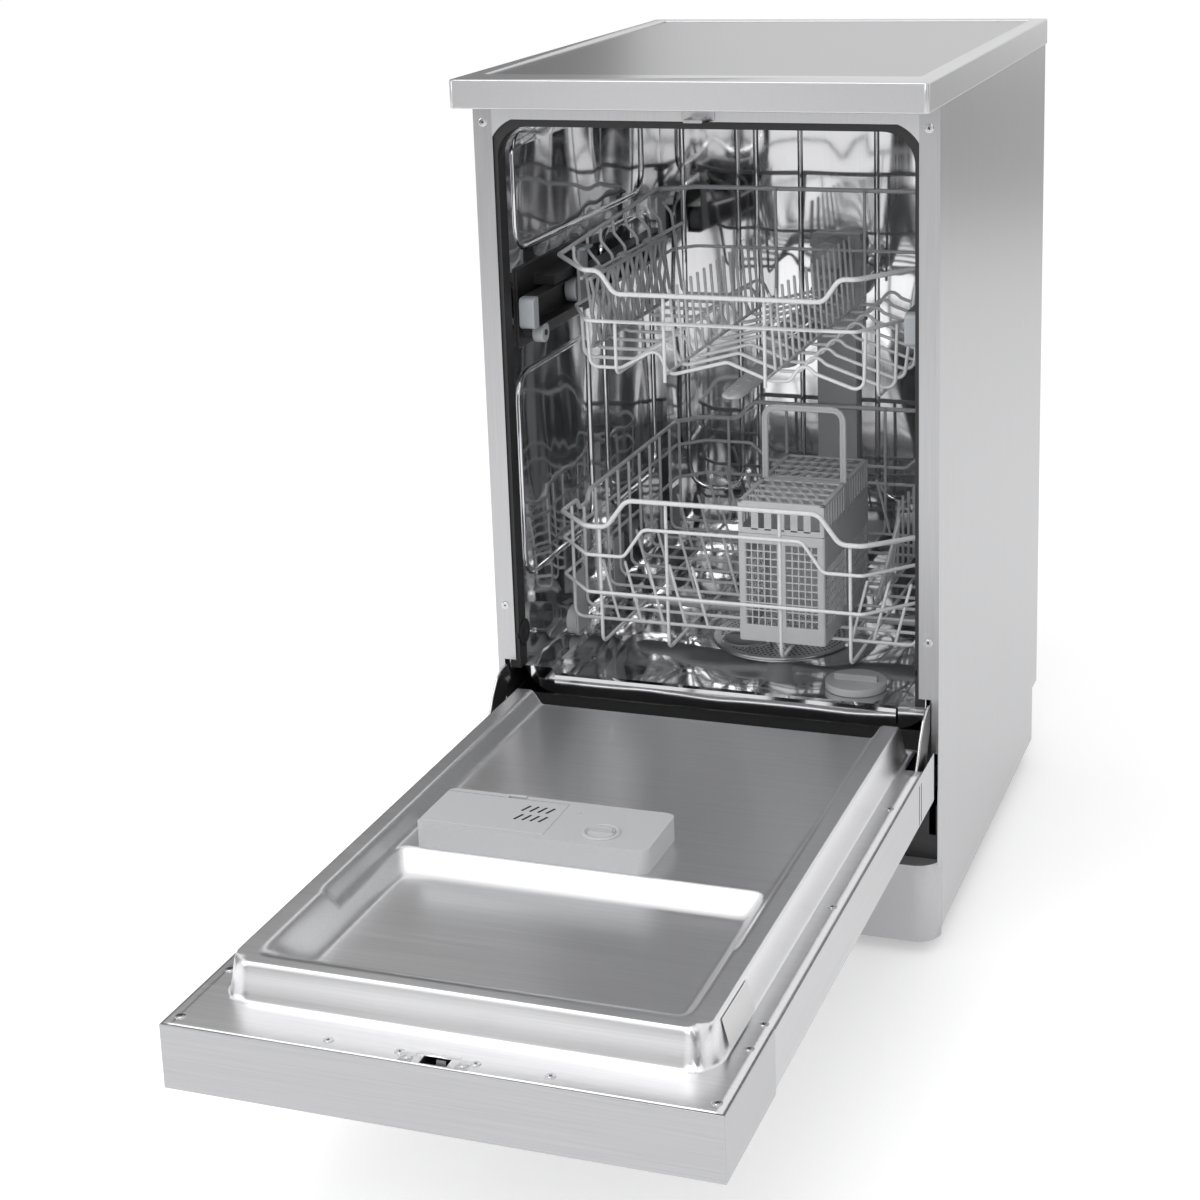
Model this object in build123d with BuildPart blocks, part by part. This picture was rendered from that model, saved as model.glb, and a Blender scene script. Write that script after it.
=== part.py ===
from build123d import *
import os

# Freestanding slimline dishwasher with its door open and both racks pushed in.
# Millimetres. X to the right, Y into the depth, Z up from the floor.
# The origin is under the middle of the whole outline.

os.makedirs("parts", exist_ok=True)

# Cabinet
width = 450.0
height = 845.0
body_width = width - 2.0
body_depth = 536.0
sheet = 0.8
worktop_thickness = 27.0
worktop_overhang = 52.0
worktop_rear_overhang = 8.0
worktop_front_border = 48.0
worktop_side_border = 18.0
worktop_recess = 1.5
worktop_ledge = 6.0
worktop_board = 12.0
panel_bottom = 20.0
flange_width = 19.0
rear_notch_depth = 27.0
rear_notch_top = 83.0
flange_screw_inset = 10.0
flange_screw_levels = (317.0, height - 46.0)
screw_hole = 2.0
screw_head = 4.2
screw_head_height = 0.8

# Plinth, base and feet
plinth_top = 92.0
plinth_bottom = 12.0
plinth_forward = 8.0
plinth_corner = 24.0
plinth_sheet = 1.5
base_front = 12.0
base_floor = 24.0
base_step = 148.0
base_wall = 3.0
base_rear_gap = 8.0
foot_radius = 18.0
foot_height = 10.0
foot_stem = 5.0
foot_x = body_width / 2 - 34.0
foot_places = (62.0, 488.0)

# Door: distances along it from the hinge axis, and levels above the axis
hinge_height = 176.0
hinge_forward = 38.0
door_width = width - 6.0
door_top_gap = 3.0
door_inner = 36.0
door_outer = 18.0
skin_step = 5.0
door_tail = 28.0
fascia_height = 125.0
fascia_wall = 2.5
liner_sheet = 1.0
liner_half = door_width / 2 - 22.0
liner_near = -16.0
liner_far = height - 255.0
liner_corner = 22.0
track_level = 66.0
track_inner = liner_half - 22.0
track_step_at = 450.0
shelf_level = 52.0
shelf_half = track_inner - 13.0
shelf_edge = 333.0
pan_top_half = liner_half - 24.0
pan_floor_half = pan_top_half - 26.0
pan_floor_near = 362.0
pan_floor_far = liner_far - 78.0
pan_top_far = liner_far - 18.0
hinge_zone = 18.0
hinge_zone_half = door_width / 2 - 17.0

# Hinge
pivot_radius = 4.0
arm_inner = door_width / 2 - 8.0
arm_sheet = 2.5
arm_length = 150.0
guard_reach = 79.0
bracket_inner = arm_inner + arm_sheet + 1.2
bracket_depth = 60.0
bracket_half = 10.0

# Tub
tub_half = body_width / 2 - 12.0
tub_sheet = 1.0
tub_top = height - 39.0
tub_floor = 214.0
tub_rear = 505.0
tub_corner = 41.0
opening_top = height - 43.0
ledge_half = tub_half - 34.0
sill_setback = 34.0
sill_rise = 22.0
gasket_thickness = 10.0
gasket_depth = 20.0
bumper_radius = 14.0
bumper_level = 285.0
sump_place = 255.0
sump_radius = 70.0
tower_radius = 9.0
filter_cup_radius = 24.0
filter_cup_x = -35.0
filter_cup_forward = 23.5
salt_x = 112.0
salt_place = 128.0
salt_hole = 27.0

# Racks
rim_wire = 5.0
rack_wire = 3.6
tine_wire = 3.2
wheel_radius = 17.0
wheel_width = 12.0
axle_radius = 3.0
lower_half = tub_half - 32.0
lower_front = 41.0
lower_length = 445.0
lower_floor = 270.0
lower_corner = lower_half - 39.0
lower_chamfer = 48.0
cross_pitch = 35.0
cross_start = 64.0
cross_count = 11
lower_tine = 62.0
lower_lean = 16.0
wheel_places = (91.0, 206.0, 400.0)
upper_front = 45.0
upper_length = 402.0
rail_outer = tub_half - 12.5
rail_inner = rail_outer - 16.0
upper_half = rail_inner - 10.8
upper_rim = 652.0
upper_rise = 16.0
upper_side_slope = 0.12
upper_chamfer = 67.0
upper_rear_chamfer = 24.0
upper_pitch = 40.0
upper_start = 18.0
upper_count = 10
upper_tine = 76.0
basket_left = 7.0
basket_right = 95.0
basket_front = 33.0
basket_rear = 210.0
basket_seam = 387.0
basket_top = 420.0
basket_wall = 2.0
handle_top = 497.0

# Rails and rollers
rail_level = 607.5
rail_height = 31.0
rail_front = 33.0
rail_length = 400.0
rail_sheet = 1.2
rack_roller_places = (119.0, 375.0)
rail_roller_radius = 10.0
lower_roller_places = (70.0, 250.0)
pad_places = (100.0, 180.0)

# Spray parts
arm_thickness = 10.0
arm_width = 28.0
upper_arm_radius = lower_half - 8.0
lower_arm_radius = lower_half - 12.0
upper_arm_bottom = 518.0
lower_arm_bottom = 240.0
upper_arm_place = 246.0
pipe_radius = 9.0
pipe_level = 547.0
stub_radius = 12.0
duct_half = 28.0
duct_depth = 14.0
duct_top = 611.0
docking_level = 591.5
second_docking_level = 545.7
docking_radius = 7.0

# Dispenser, on the shelf of the liner
dispenser_left = -150.0
dispenser_right = 60.0
dispenser_near = 252.0
dispenser_far = 330.0
dispenser_rise = 22.0
dispenser_depth = 30.0
dispenser_split = -35.0
lid_thickness = 4.0
cap_x = 11.0
cap_along = 305.0
cap_radius = 12.0

# Clearances
running_gap = 0.05
soft_gap = 0.3
slide_gap = 0.4

# Worked out from the sizes above
door_reach = height - worktop_thickness - door_top_gap - hinge_height
front = (door_reach + hinge_forward - body_depth - worktop_rear_overhang) / 2
worktop_under = height - worktop_thickness
hinge_y = front - hinge_forward
inner_half = body_width / 2 - sheet
tub_inner = tub_half - tub_sheet
flange_level = hinge_height + door_inner
ledge_level = hinge_height + track_level
shelf_height = hinge_height + shelf_level
cut_low = hinge_height + 30.0
cut_high = hinge_height + guard_reach + 5.0
guard_clear = arm_inner + arm_sheet + 0.7
fascia_near = door_reach - fascia_height
liner_edge = door_width / 2 - fascia_wall
skin_inner = door_width / 2 - sheet
skin_low = hinge_height - door_outer + skin_step
sill_top = tub_floor + sill_rise
wheel_level = ledge_level + wheel_radius + soft_gap
cross_level = lower_floor + rack_wire
lower_first = lower_front + (rim_wire + rack_wire) / 2
lower_last = lower_front + lower_length - (rim_wire + rack_wire) / 2
upper_first = upper_front + (rim_wire + rack_wire) / 2
upper_last = upper_front + upper_length - (rim_wire + rack_wire) / 2
rail_low = rail_level - rail_height / 2
rail_high = rail_level + rail_height / 2
rail_roller_gap = rail_roller_radius + soft_gap
rack_roller_radius = rail_height / 2 - rail_sheet - soft_gap
upper_arm_top = upper_arm_bottom + arm_thickness
lower_arm_top = lower_arm_bottom + arm_thickness
dispenser_top = shelf_height + dispenser_rise


def deep(distance):
    """Y of a place that far behind the front plane of the cabinet."""
    return front + distance


def along(distance):
    """Y of a place that far along the open door from its hinge axis."""
    return hinge_y - distance


def sided(side, near, far):
    """The low and high X of a stretch on the left (-1) or the right (1) side."""
    return (near, far) if side > 0 else (-far, -near)


def block(xs, ys, zs, mode=Mode.ADD):
    """A box between the low and high limits along each axis."""
    with Locations(((xs[0] + xs[1]) / 2, (ys[0] + ys[1]) / 2, (zs[0] + zs[1]) / 2)):
        Box(xs[1] - xs[0], ys[1] - ys[0], zs[1] - zs[0], mode=mode)


def slab(xs, near, far, zs, mode=Mode.ADD):
    """A box on the open door, between two distances along it."""
    block(xs, (along(far), along(near)), zs, mode)


def bar(start, end, radius, mode=Mode.ADD):
    """A round bar, pin or hole between two points."""
    first, last = Vector(*start), Vector(*end)
    with BuildSketch(Plane(origin=first, z_dir=(last - first).normalized())) as ring:
        Circle(radius)
    extrude(ring.sketch, amount=(last - first).length, mode=mode)


def side_profile(points, xs, mode=Mode.ADD):
    """A flat piece seen from the side, between two X limits."""
    with BuildSketch(Plane.YZ.offset(xs[0])) as outline:
        with BuildLine():
            Polyline(*points, close=True)
        make_face()
    extrude(outline.sketch, amount=xs[1] - xs[0], mode=mode)


def front_profile(points, ys, mode=Mode.ADD):
    """A flat piece seen from the front, between two Y limits."""
    with BuildSketch(Plane.XZ.offset(-ys[0])) as outline:
        with BuildLine():
            Polyline(*points, close=True)
        make_face()
    extrude(outline.sketch, amount=ys[0] - ys[1], mode=mode)


def drafted(low, high, corner, mode=Mode.ADD):
    """A tapered form between two rounded outlines: half width, near, far and level of each."""
    outlines = []
    for half, near, far, level in (low, high):
        with BuildSketch(Plane.XY.offset(level)) as outline:
            with Locations((0, along((near + far) / 2))):
                RectangleRounded(2 * half, far - near, corner)
        outlines.append(outline.sketch)
    loft(outlines, mode=mode)


def straight(start, end, diameter):
    """One straight wire or tine, as a list of its one solid."""
    with BuildPart() as length:
        bar(start, end, diameter / 2)
    return length.part.solids()


def bent(points, diameter, closed=False):
    """A bent wire as straight lengths that meet on the mitres between them."""
    spots = [Vector(*point) for point in points]
    if closed:
        spots.append(spots[0])
    count = len(spots) - 1
    ways = [(spots[i + 1] - spots[i]).normalized() for i in range(count)]
    lengths = []
    for i in range(count):
        cut_start = closed or i > 0
        cut_end = closed or i < count - 1
        start = spots[i] - ways[i] * (diameter if cut_start else 0)
        end = spots[i + 1] + ways[i] * (diameter if cut_end else 0)
        with BuildPart() as length:
            bar(start, end, diameter / 2)
            if cut_start:
                mitre = (ways[i - 1] + ways[i]).normalized()
                split(bisect_by=Plane(origin=spots[i], z_dir=mitre), keep=Keep.TOP)
            if cut_end:
                mitre = (ways[i] + ways[(i + 1) % count]).normalized()
                split(bisect_by=Plane(origin=spots[i + 1], z_dir=mitre), keep=Keep.BOTTOM)
        lengths.extend(length.part.solids())
    return lengths


def both_sides(right_half):
    """A closed loop from its right half, listed from the front to the rear."""
    return list(right_half) + [(-x, y, z) for x, y, z in reversed(right_half)]


def write_group(solids, label):
    """Separate solids that touch, written as one named piece."""
    export_step(Compound(label=label, children=solids), f"parts/{label}.step")


# Worktop: a rim with a ledge, and the board that lies in it
panel_half = width / 2 - worktop_side_border
panel_ys = (deep(worktop_front_border - worktop_overhang),
            deep(body_depth + worktop_rear_overhang - worktop_side_border))
pocket_floor = height - worktop_recess - worktop_board
with BuildPart() as worktop_rim:
    block((-width / 2, width / 2), (deep(-worktop_overhang), deep(body_depth + worktop_rear_overhang)),
          (worktop_under, height))
    fillet(worktop_rim.edges().filter_by(Axis.Z), radius=4)
    block((-panel_half, panel_half), panel_ys, (pocket_floor, height), Mode.SUBTRACT)
    block((-panel_half + worktop_ledge, panel_half - worktop_ledge),
          (panel_ys[0] + worktop_ledge, panel_ys[1] - worktop_ledge), (worktop_under, pocket_floor),
          Mode.SUBTRACT)
worktop_rim.part.label = "worktop_rim"
export_step(worktop_rim.part, "parts/worktop_rim.step")

with BuildPart() as worktop_panel:
    block((-panel_half + running_gap, panel_half - running_gap),
          (panel_ys[0] + running_gap, panel_ys[1] - running_gap), (pocket_floor, pocket_floor + worktop_board))
worktop_panel.part.label = "worktop_panel"
export_step(worktop_panel.part, "parts/worktop_panel.step")

# Side panels: sheet folded into a front flange, which is cut away where the hinge guard swings
plinth_return = plinth_corner - plinth_forward + 1.0
screw_x = body_width / 2 - flange_screw_inset
for side, name in ((-1, "side_panel_left"), (1, "side_panel_right")):
    flange_edge = side * (body_width / 2 - flange_width)
    with BuildPart() as side_panel:
        side_profile([(deep(0), plinth_top), (deep(0), worktop_under), (deep(body_depth), worktop_under),
                      (deep(body_depth), rear_notch_top), (deep(body_depth - rear_notch_depth), rear_notch_top),
                      (deep(body_depth - rear_notch_depth), panel_bottom), (deep(plinth_return), panel_bottom),
                      (deep(plinth_return), plinth_top)], sided(side, inner_half, body_width / 2))
        front_profile([(side * inner_half, cut_low), (side * guard_clear, cut_low),
                       (side * guard_clear, cut_high), (flange_edge, cut_high),
                       (flange_edge, worktop_under), (side * inner_half, worktop_under)],
                      (deep(0), deep(sheet)))
        block(sided(side, body_width / 2 - flange_width, body_width / 2),
              (deep(body_depth - sheet), deep(body_depth)), (rear_notch_top, worktop_under))
        for level in flange_screw_levels:
            bar((side * screw_x, deep(-1), level), (side * screw_x, deep(2), level), screw_hole, Mode.SUBTRACT)
    side_panel.part.label = name
    export_step(side_panel.part, f"parts/{name}.step")

# Screws through the front flanges
with BuildPart() as flange_screws:
    for side in (-1, 1):
        for level in flange_screw_levels:
            bar((side * screw_x, deep(-screw_head_height), level), (side * screw_x, deep(0), level), screw_head)
            bar((side * screw_x, deep(0), level), (side * screw_x, deep(9), level), screw_hole - running_gap)
flange_screws.part.label = "flange_screws"
export_step(flange_screws.part, "parts/flange_screws.step")

# Rail across the front, above the opening
rail_half = body_width / 2 - flange_width
with BuildPart() as front_rail:
    block((-rail_half, rail_half), (deep(0), deep(sheet)), (opening_top, worktop_under))
    block((-inner_half, inner_half), (deep(sheet), deep(30)), (worktop_under - sheet, worktop_under))
    block((-rail_half, rail_half), (deep(sheet), deep(2 * sheet)), (tub_top + 2, worktop_under))
front_rail.part.label = "front_rail"
export_step(front_rail.part, "parts/front_rail.step")

# Catch loop that stands out of the rail for the door's hook
strike_reach = 18.0
strike_half = 9.0
strike_level = opening_top + 1.0
strike_bar = 3.0
strike_sheet = 1.2
with BuildPart() as latch_strike:
    block((-16, 16), (deep(-strike_sheet), deep(0)), (strike_level, worktop_under - 3))
    fillet(latch_strike.edges().filter_by(Axis.Y).group_by(Axis.Z)[-1], radius=3)
    block((-strike_half, strike_half), (deep(-strike_reach), deep(-strike_sheet)),
          (strike_level, strike_level + strike_bar))
    block((-strike_half + 3, strike_half - 3), (deep(-strike_reach + 3), deep(-strike_sheet)),
          (strike_level, strike_level + strike_bar), Mode.SUBTRACT)
latch_strike.part.label = "latch_strike"
export_step(latch_strike.part, "parts/latch_strike.step")

# Rear panel between the sides, with two stiffening swages
with BuildPart() as rear_panel:
    block((-inner_half, inner_half), (deep(body_depth - 2 * sheet), deep(body_depth - sheet)),
          (rear_notch_top, worktop_under))
    for share in (0.35, 0.7):
        swage = rear_notch_top + share * (worktop_under - rear_notch_top)
        block((-0.8 * inner_half, 0.8 * inner_half), (deep(body_depth - sheet), deep(body_depth)),
              (swage - 20, swage + 20))
rear_panel.part.label = "rear_panel"
export_step(rear_panel.part, "parts/rear_panel.step")

# Tub: a drawn box open at the front, with a wheel ledge along each side and a sill
ledge_ys = (deep(sill_setback - tub_sheet), deep(tub_rear - tub_sheet))
with BuildPart() as tub:
    with BuildSketch(Plane.XZ.offset(-deep(sheet))):
        with Locations((0, (tub_top + tub_floor) / 2)):
            RectangleRounded(2 * tub_half, tub_top - tub_floor, tub_corner)
    extrude(amount=-(tub_rear - sheet))
    with BuildSketch(Plane.XZ.offset(-deep(sheet))):
        with Locations((0, (tub_top + tub_floor) / 2)):
            RectangleRounded(2 * tub_inner, tub_top - tub_floor - 2 * tub_sheet, tub_corner - tub_sheet)
        for side in (-1, 1):
            with BuildLine():
                Polyline((side * ledge_half, tub_floor), (side * ledge_half, ledge_level - 3),
                         (side * (ledge_half + 3), ledge_level), (side * tub_half, ledge_level),
                         (side * tub_half, tub_floor), close=True)
            make_face(mode=Mode.SUBTRACT)
    extrude(amount=-(tub_rear - tub_sheet - sheet), mode=Mode.SUBTRACT)
    block((-tub_half, tub_half), (deep(0), ledge_ys[0]), (tub_floor - 1, ledge_level + 9), Mode.SUBTRACT)
    block((-ledge_half, ledge_half), (ledge_ys[0], ledge_ys[0] + tub_sheet), (tub_floor, sill_top))
    bar((0, deep(sump_place), tub_floor - 1), (0, deep(sump_place), tub_floor + 5), sump_radius, Mode.SUBTRACT)
    bar((salt_x, deep(salt_place), tub_floor - 1), (salt_x, deep(salt_place), tub_floor + 5), salt_hole,
        Mode.SUBTRACT)
tub.part.label = "tub"
export_step(tub.part, "parts/tub.step")

# Gasket up both sides and over the top of the opening, cut round the bumpers, and the strip on the sill
gasket_ys = (deep(2 * sheet + soft_gap), deep(gasket_depth))
bumper_y = deep(bumper_radius + 2)
with BuildPart() as tub_gasket:
    with BuildSketch(Plane.XZ.offset(-gasket_ys[0])):
        with Locations((0, (tub_top + tub_floor) / 2)):
            RectangleRounded(2 * tub_inner, tub_top - tub_floor - 2 * tub_sheet, tub_corner - tub_sheet)
            RectangleRounded(2 * (tub_inner - gasket_thickness),
                             tub_top - tub_floor - 2 * (tub_sheet + gasket_thickness),
                             tub_corner - tub_sheet - gasket_thickness, mode=Mode.SUBTRACT)
    extrude(amount=gasket_ys[0] - gasket_ys[1])
    block((-tub_half, tub_half), (deep(0), deep(gasket_depth + 5)), (tub_floor - 1, ledge_level + 9),
          Mode.SUBTRACT)
    for side in (-1, 1):
        bar((side * tub_half, bumper_y, bumper_level), (side * (tub_half - 15), bumper_y, bumper_level),
            bumper_radius + soft_gap, Mode.SUBTRACT)
    block((-ledge_half + 4, ledge_half - 4), (ledge_ys[0] - 1.5, ledge_ys[0]), (tub_floor + 4, sill_top))
tub_gasket.part.label = "tub_gasket"
export_step(tub_gasket.part, "parts/tub_gasket.step")

# Round bumpers low in the gasket, one each side
with BuildPart() as side_bumpers:
    for side in (-1, 1):
        wall = (side * tub_inner, bumper_y, bumper_level)
        bar(wall, (side * (tub_inner - gasket_thickness + 1.5), bumper_y, bumper_level), bumper_radius)
        bar(wall, (side * (tub_inner - gasket_thickness + 0.5), bumper_y, bumper_level), bumper_radius / 2)
side_bumpers.part.label = "side_bumpers"
export_step(side_bumpers.part, "parts/side_bumpers.step")

# Base: one moulded tray under the tub, open above, slotted for the hinge guards
base_half = inner_half - 1.0
base_setback = sill_setback - 3.0
valve_x = 130.0
valve_level = 58.0
inlet_radius = 13.2
inlet_collar = 15.0
drain_x = -110.0
drain_level = 60.0
drain_radius = 10.5
drain_pipe = 12.0
base_rear_low = body_depth - rear_notch_depth - 2.0
collar_end = base_rear_low + 1.0
with BuildPart() as base_tray:
    side_profile([(deep(base_front), base_floor), (deep(base_front), base_step), (deep(base_setback), base_step),
                  (deep(base_setback), tub_floor), (deep(body_depth - base_rear_gap), tub_floor),
                  (deep(body_depth - base_rear_gap), rear_notch_top), (deep(base_rear_low), rear_notch_top),
                  (deep(base_rear_low), base_floor)], (-base_half, base_half))
    offset(amount=-base_wall, openings=base_tray.faces().sort_by(Axis.Z)[-1])
    for side in (-1, 1):
        block(sided(side, arm_inner - 1.4, base_half - base_wall), (deep(0), deep(base_setback + 10)),
              (hinge_height - guard_reach + 20, tub_floor + 1), Mode.SUBTRACT)
        for place in foot_places:
            bar((side * foot_x, deep(place), 0), (side * foot_x, deep(place), base_floor + 10),
                foot_stem + running_gap, Mode.SUBTRACT)
    for x, level, radius in ((valve_x, valve_level, inlet_collar), (drain_x, drain_level, drain_pipe)):
        bar((x, deep(base_rear_low - 10), level), (x, deep(base_rear_low + 10), level), radius + running_gap,
            Mode.SUBTRACT)
base_tray.part.label = "base_tray"
export_step(base_tray.part, "parts/base_tray.step")

# Plinth: a front plate bent back round both corners, with two clips to the base
plinth_ys = (deep(-plinth_forward), deep(plinth_return - 0.5))
with BuildPart() as plinth:
    for inset, mode in ((0.0, Mode.ADD), (plinth_sheet, Mode.SUBTRACT)):
        with BuildSketch(Plane.XY.offset(plinth_bottom)) as outline:
            with Locations((0, plinth_ys[0] + 50)):
                RectangleRounded(body_width - 2 * inset, 100 - 2 * inset, plinth_corner - inset)
        extrude(outline.sketch, amount=plinth_top - plinth_bottom - inset, mode=mode)
    block((-width, width), (plinth_ys[1], plinth_ys[1] + 200), (0, plinth_top + 10), Mode.SUBTRACT)
    block((-base_half - soft_gap, base_half + soft_gap), (deep(base_front), plinth_ys[1]), (0, plinth_top + 10),
          Mode.SUBTRACT)
    for side in (-1, 1):
        block(sided(side, 110, 130), (plinth_ys[0] + plinth_sheet, deep(base_front)),
              (plinth_top - 50, plinth_top - 20))
plinth.part.label = "plinth"
export_step(plinth.part, "parts/plinth.step")

# Levelling feet: a pad, a lock nut under the tray and a stem up into it
with BuildPart() as feet:
    for side in (-1, 1):
        for place in foot_places:
            spot = (side * foot_x, deep(place))
            bar((*spot, 0), (*spot, foot_height), foot_radius)
            bar((*spot, foot_height), (*spot, base_floor), foot_radius / 2)
            bar((*spot, base_floor), (*spot, base_floor + 16), foot_stem)
feet.part.label = "feet"
export_step(feet.part, "parts/feet.step")

# Hinge brackets: a bar from the base to the pivot, with a headed pin pointing inwards
with BuildPart() as hinge_brackets:
    for side in (-1, 1):
        outer_face = (side * (base_half - base_wall), hinge_y, hinge_height)
        inner_face = (side * bracket_inner, hinge_y, hinge_height)
        pin_end = (side * (arm_inner - soft_gap), hinge_y, hinge_height)
        head_end = (side * (arm_inner - 1.5), hinge_y, hinge_height)
        block(sided(side, bracket_inner, base_half - base_wall), (hinge_y, deep(bracket_depth)),
              (hinge_height - bracket_half, hinge_height + bracket_half))
        bar(inner_face, outer_face, bracket_half)
        bar(inner_face, pin_end, pivot_radius)
        bar(pin_end, head_end, pivot_radius + 2)
hinge_brackets.part.label = "hinge_brackets"
export_step(hinge_brackets.part, "parts/hinge_brackets.step")

# Hinge arms on the door: a plate with a curved guard that slides into the cabinet
with BuildPart() as hinge_arms:
    for side in (-1, 1):
        side_profile([(along(arm_length), hinge_height - 6), (along(arm_length), hinge_height + 28),
                      (along(21), cut_low), (along(17), hinge_height + 35), (along(9), hinge_height + 46),
                      (along(2), hinge_height + 58), (along(-12), hinge_height + 73),
                      (along(-hinge_forward), hinge_height + guard_reach), (along(-44), hinge_height + 68),
                      (along(-27), hinge_height + 42), (along(-15), hinge_height + 16), (along(-11), hinge_height),
                      (along(-8), hinge_height - 8), (along(0), hinge_height - 11)],
                     sided(side, arm_inner, arm_inner + arm_sheet))
        bar((side * (arm_inner - 1), hinge_y, hinge_height), (side * (arm_inner + 5), hinge_y, hinge_height),
            pivot_radius + running_gap, Mode.SUBTRACT)
        slab(sided(side, arm_inner + arm_sheet, skin_inner), arm_length - 40, arm_length,
             (hinge_height - 6, hinge_height + 26))
        rivet = (along(-hinge_forward - 2), hinge_height + guard_reach - 16)
        bar((side * arm_inner, *rivet), (side * (arm_inner - 1.2), *rivet), 3)
hinge_arms.part.label = "hinge_arms"
export_step(hinge_arms.part, "parts/hinge_arms.step")


# Door liner: one pressing with a raised track round a sunken pan, and a lower shelf for the dispenser
def pressed_form(lowered):
    """The space under the pressed surface, lowered by one sheet thickness for the inside."""
    with BuildPart() as form:
        slab((-liner_half + lowered, liner_half - lowered), liner_near + lowered, liner_far - lowered,
             (flange_level - liner_sheet - lowered, ledge_level - lowered))
        fillet(form.edges().filter_by(Axis.Z).group_by(Axis.Y)[0], radius=liner_corner - lowered)
        drafted((shelf_half + lowered, -80, track_step_at + lowered, shelf_height - lowered),
                (track_inner + lowered, -80, track_step_at + lowered, ledge_level + 1), 8, Mode.SUBTRACT)
        drafted((pan_floor_half + lowered, pan_floor_near - lowered, pan_floor_far + lowered,
                 flange_level - lowered),
                (pan_top_half + lowered, shelf_edge - 26 - lowered, pan_top_far + lowered, ledge_level + 0.5),
                20, Mode.SUBTRACT)
    return form.part


with BuildPart() as door_liner:
    add(pressed_form(0.0))
    add(pressed_form(liner_sheet), mode=Mode.SUBTRACT)
    flange_zs = (flange_level - liner_sheet, flange_level)
    for side in (-1, 1):
        slab(sided(side, liner_half - 1, liner_edge), hinge_zone, door_reach - fascia_wall, flange_zs)
        slab(sided(side, liner_half - 1, hinge_zone_half), -door_tail, hinge_zone, flange_zs)
    slab((-liner_half, liner_half), liner_far - 1, door_reach - fascia_wall, flange_zs)
    slab((-liner_half, liner_half), -door_tail, liner_near + 1, flange_zs)
    slab((dispenser_left + 8, dispenser_right - 8), dispenser_near + 8, dispenser_far - 8,
         (shelf_height - 3, shelf_height + 1), Mode.SUBTRACT)
    slab((-strike_half - 2, strike_half + 2), strike_level - hinge_height - 4, strike_level - hinge_height + 7,
         (flange_level - 2, flange_level + 1), Mode.SUBTRACT)
door_liner.part.label = "door_liner"
export_step(door_liner.part, "parts/door_liner.step")

# Outer skin: a folded tray under the liner, with a closed tail
under_flange = flange_level - liner_sheet
with BuildPart() as door_skin:
    slab((-door_width / 2, door_width / 2), -door_tail, fascia_near, (skin_low, skin_low + sheet))
    for side in (-1, 1):
        slab(sided(side, skin_inner, door_width / 2), -door_tail, fascia_near, (skin_low, under_flange))
        slab(sided(side, hinge_zone_half, door_width / 2), hinge_zone, fascia_near,
             (under_flange - sheet, under_flange))
    slab((-arm_inner + 2, arm_inner - 2), -door_tail, -door_tail + sheet, (skin_low, under_flange))
door_skin.part.label = "door_skin"
export_step(door_skin.part, "parts/door_skin.step")

# Control panel: a shell round the far end of the door, with a finger recess
fascia_low = hinge_height - door_outer
recess_half = 65.0
recess_near = fascia_near + 26
recess_far = fascia_near + 62
recess_depth = 22.0
button_along = fascia_near + 92
button_radius = 7.0
button_xs = (-150.0, 70.0, 150.0)
window_xs = (90.0, 130.0)
window_run = (button_along - 10, button_along + 10)
with BuildPart() as control_panel:
    slab((-door_width / 2, door_width / 2), fascia_near, door_reach, (fascia_low, flange_level))
    fillet(control_panel.edges().filter_by(Axis.X).group_by(Axis.Z)[0], radius=2)
    slab((-liner_edge, liner_edge), fascia_near + fascia_wall, door_reach - fascia_wall,
         (fascia_low + fascia_wall, flange_level), Mode.SUBTRACT)
    slab((-liner_edge, liner_edge), fascia_near, fascia_near + fascia_wall, (skin_low + sheet, flange_level),
         Mode.SUBTRACT)
    slab((-recess_half - fascia_wall, recess_half + fascia_wall), recess_near - fascia_wall,
         recess_far + fascia_wall, (fascia_low, fascia_low + recess_depth + fascia_wall))
    slab((-recess_half, recess_half), recess_near, recess_far, (fascia_low, fascia_low + recess_depth),
         Mode.SUBTRACT)
    for x in button_xs:
        bar((x, along(button_along), fascia_low - 1), (x, along(button_along), fascia_low + 5),
            button_radius + soft_gap, Mode.SUBTRACT)
    slab(window_xs, *window_run, (fascia_low - 1, fascia_low + 5), Mode.SUBTRACT)
control_panel.part.label = "control_panel"
export_step(control_panel.part, "parts/control_panel.step")

with BuildPart() as display_window:
    slab((window_xs[0] + running_gap, window_xs[1] - running_gap), window_run[0] + running_gap,
         window_run[1] - running_gap, (fascia_low, fascia_low + fascia_wall))
    slab((window_xs[0] - 3, window_xs[1] + 3), window_run[0] - 3, window_run[1] + 3,
         (fascia_low + fascia_wall, fascia_low + fascia_wall + 1))
display_window.part.label = "display_window"
export_step(display_window.part, "parts/display_window.step")

# Buttons: a cap in its hole and a stem that reaches to the board, which leaves room for the latch
latch_half = 20.0
latch_along = strike_level - hinge_height
button_travel = 2.0
board_bottom = hinge_height - 6.0
for x, name in zip(button_xs, ("power_button", "programme_button", "start_button")):
    with BuildPart() as button:
        bar((x, along(button_along), fascia_low - 1), (x, along(button_along), fascia_low + 4), button_radius)
        bar((x, along(button_along), fascia_low + 4),
            (x, along(button_along), board_bottom - button_travel - soft_gap), 2.5)
    button.part.label = name
    export_step(button.part, f"parts/{name}.step")

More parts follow.
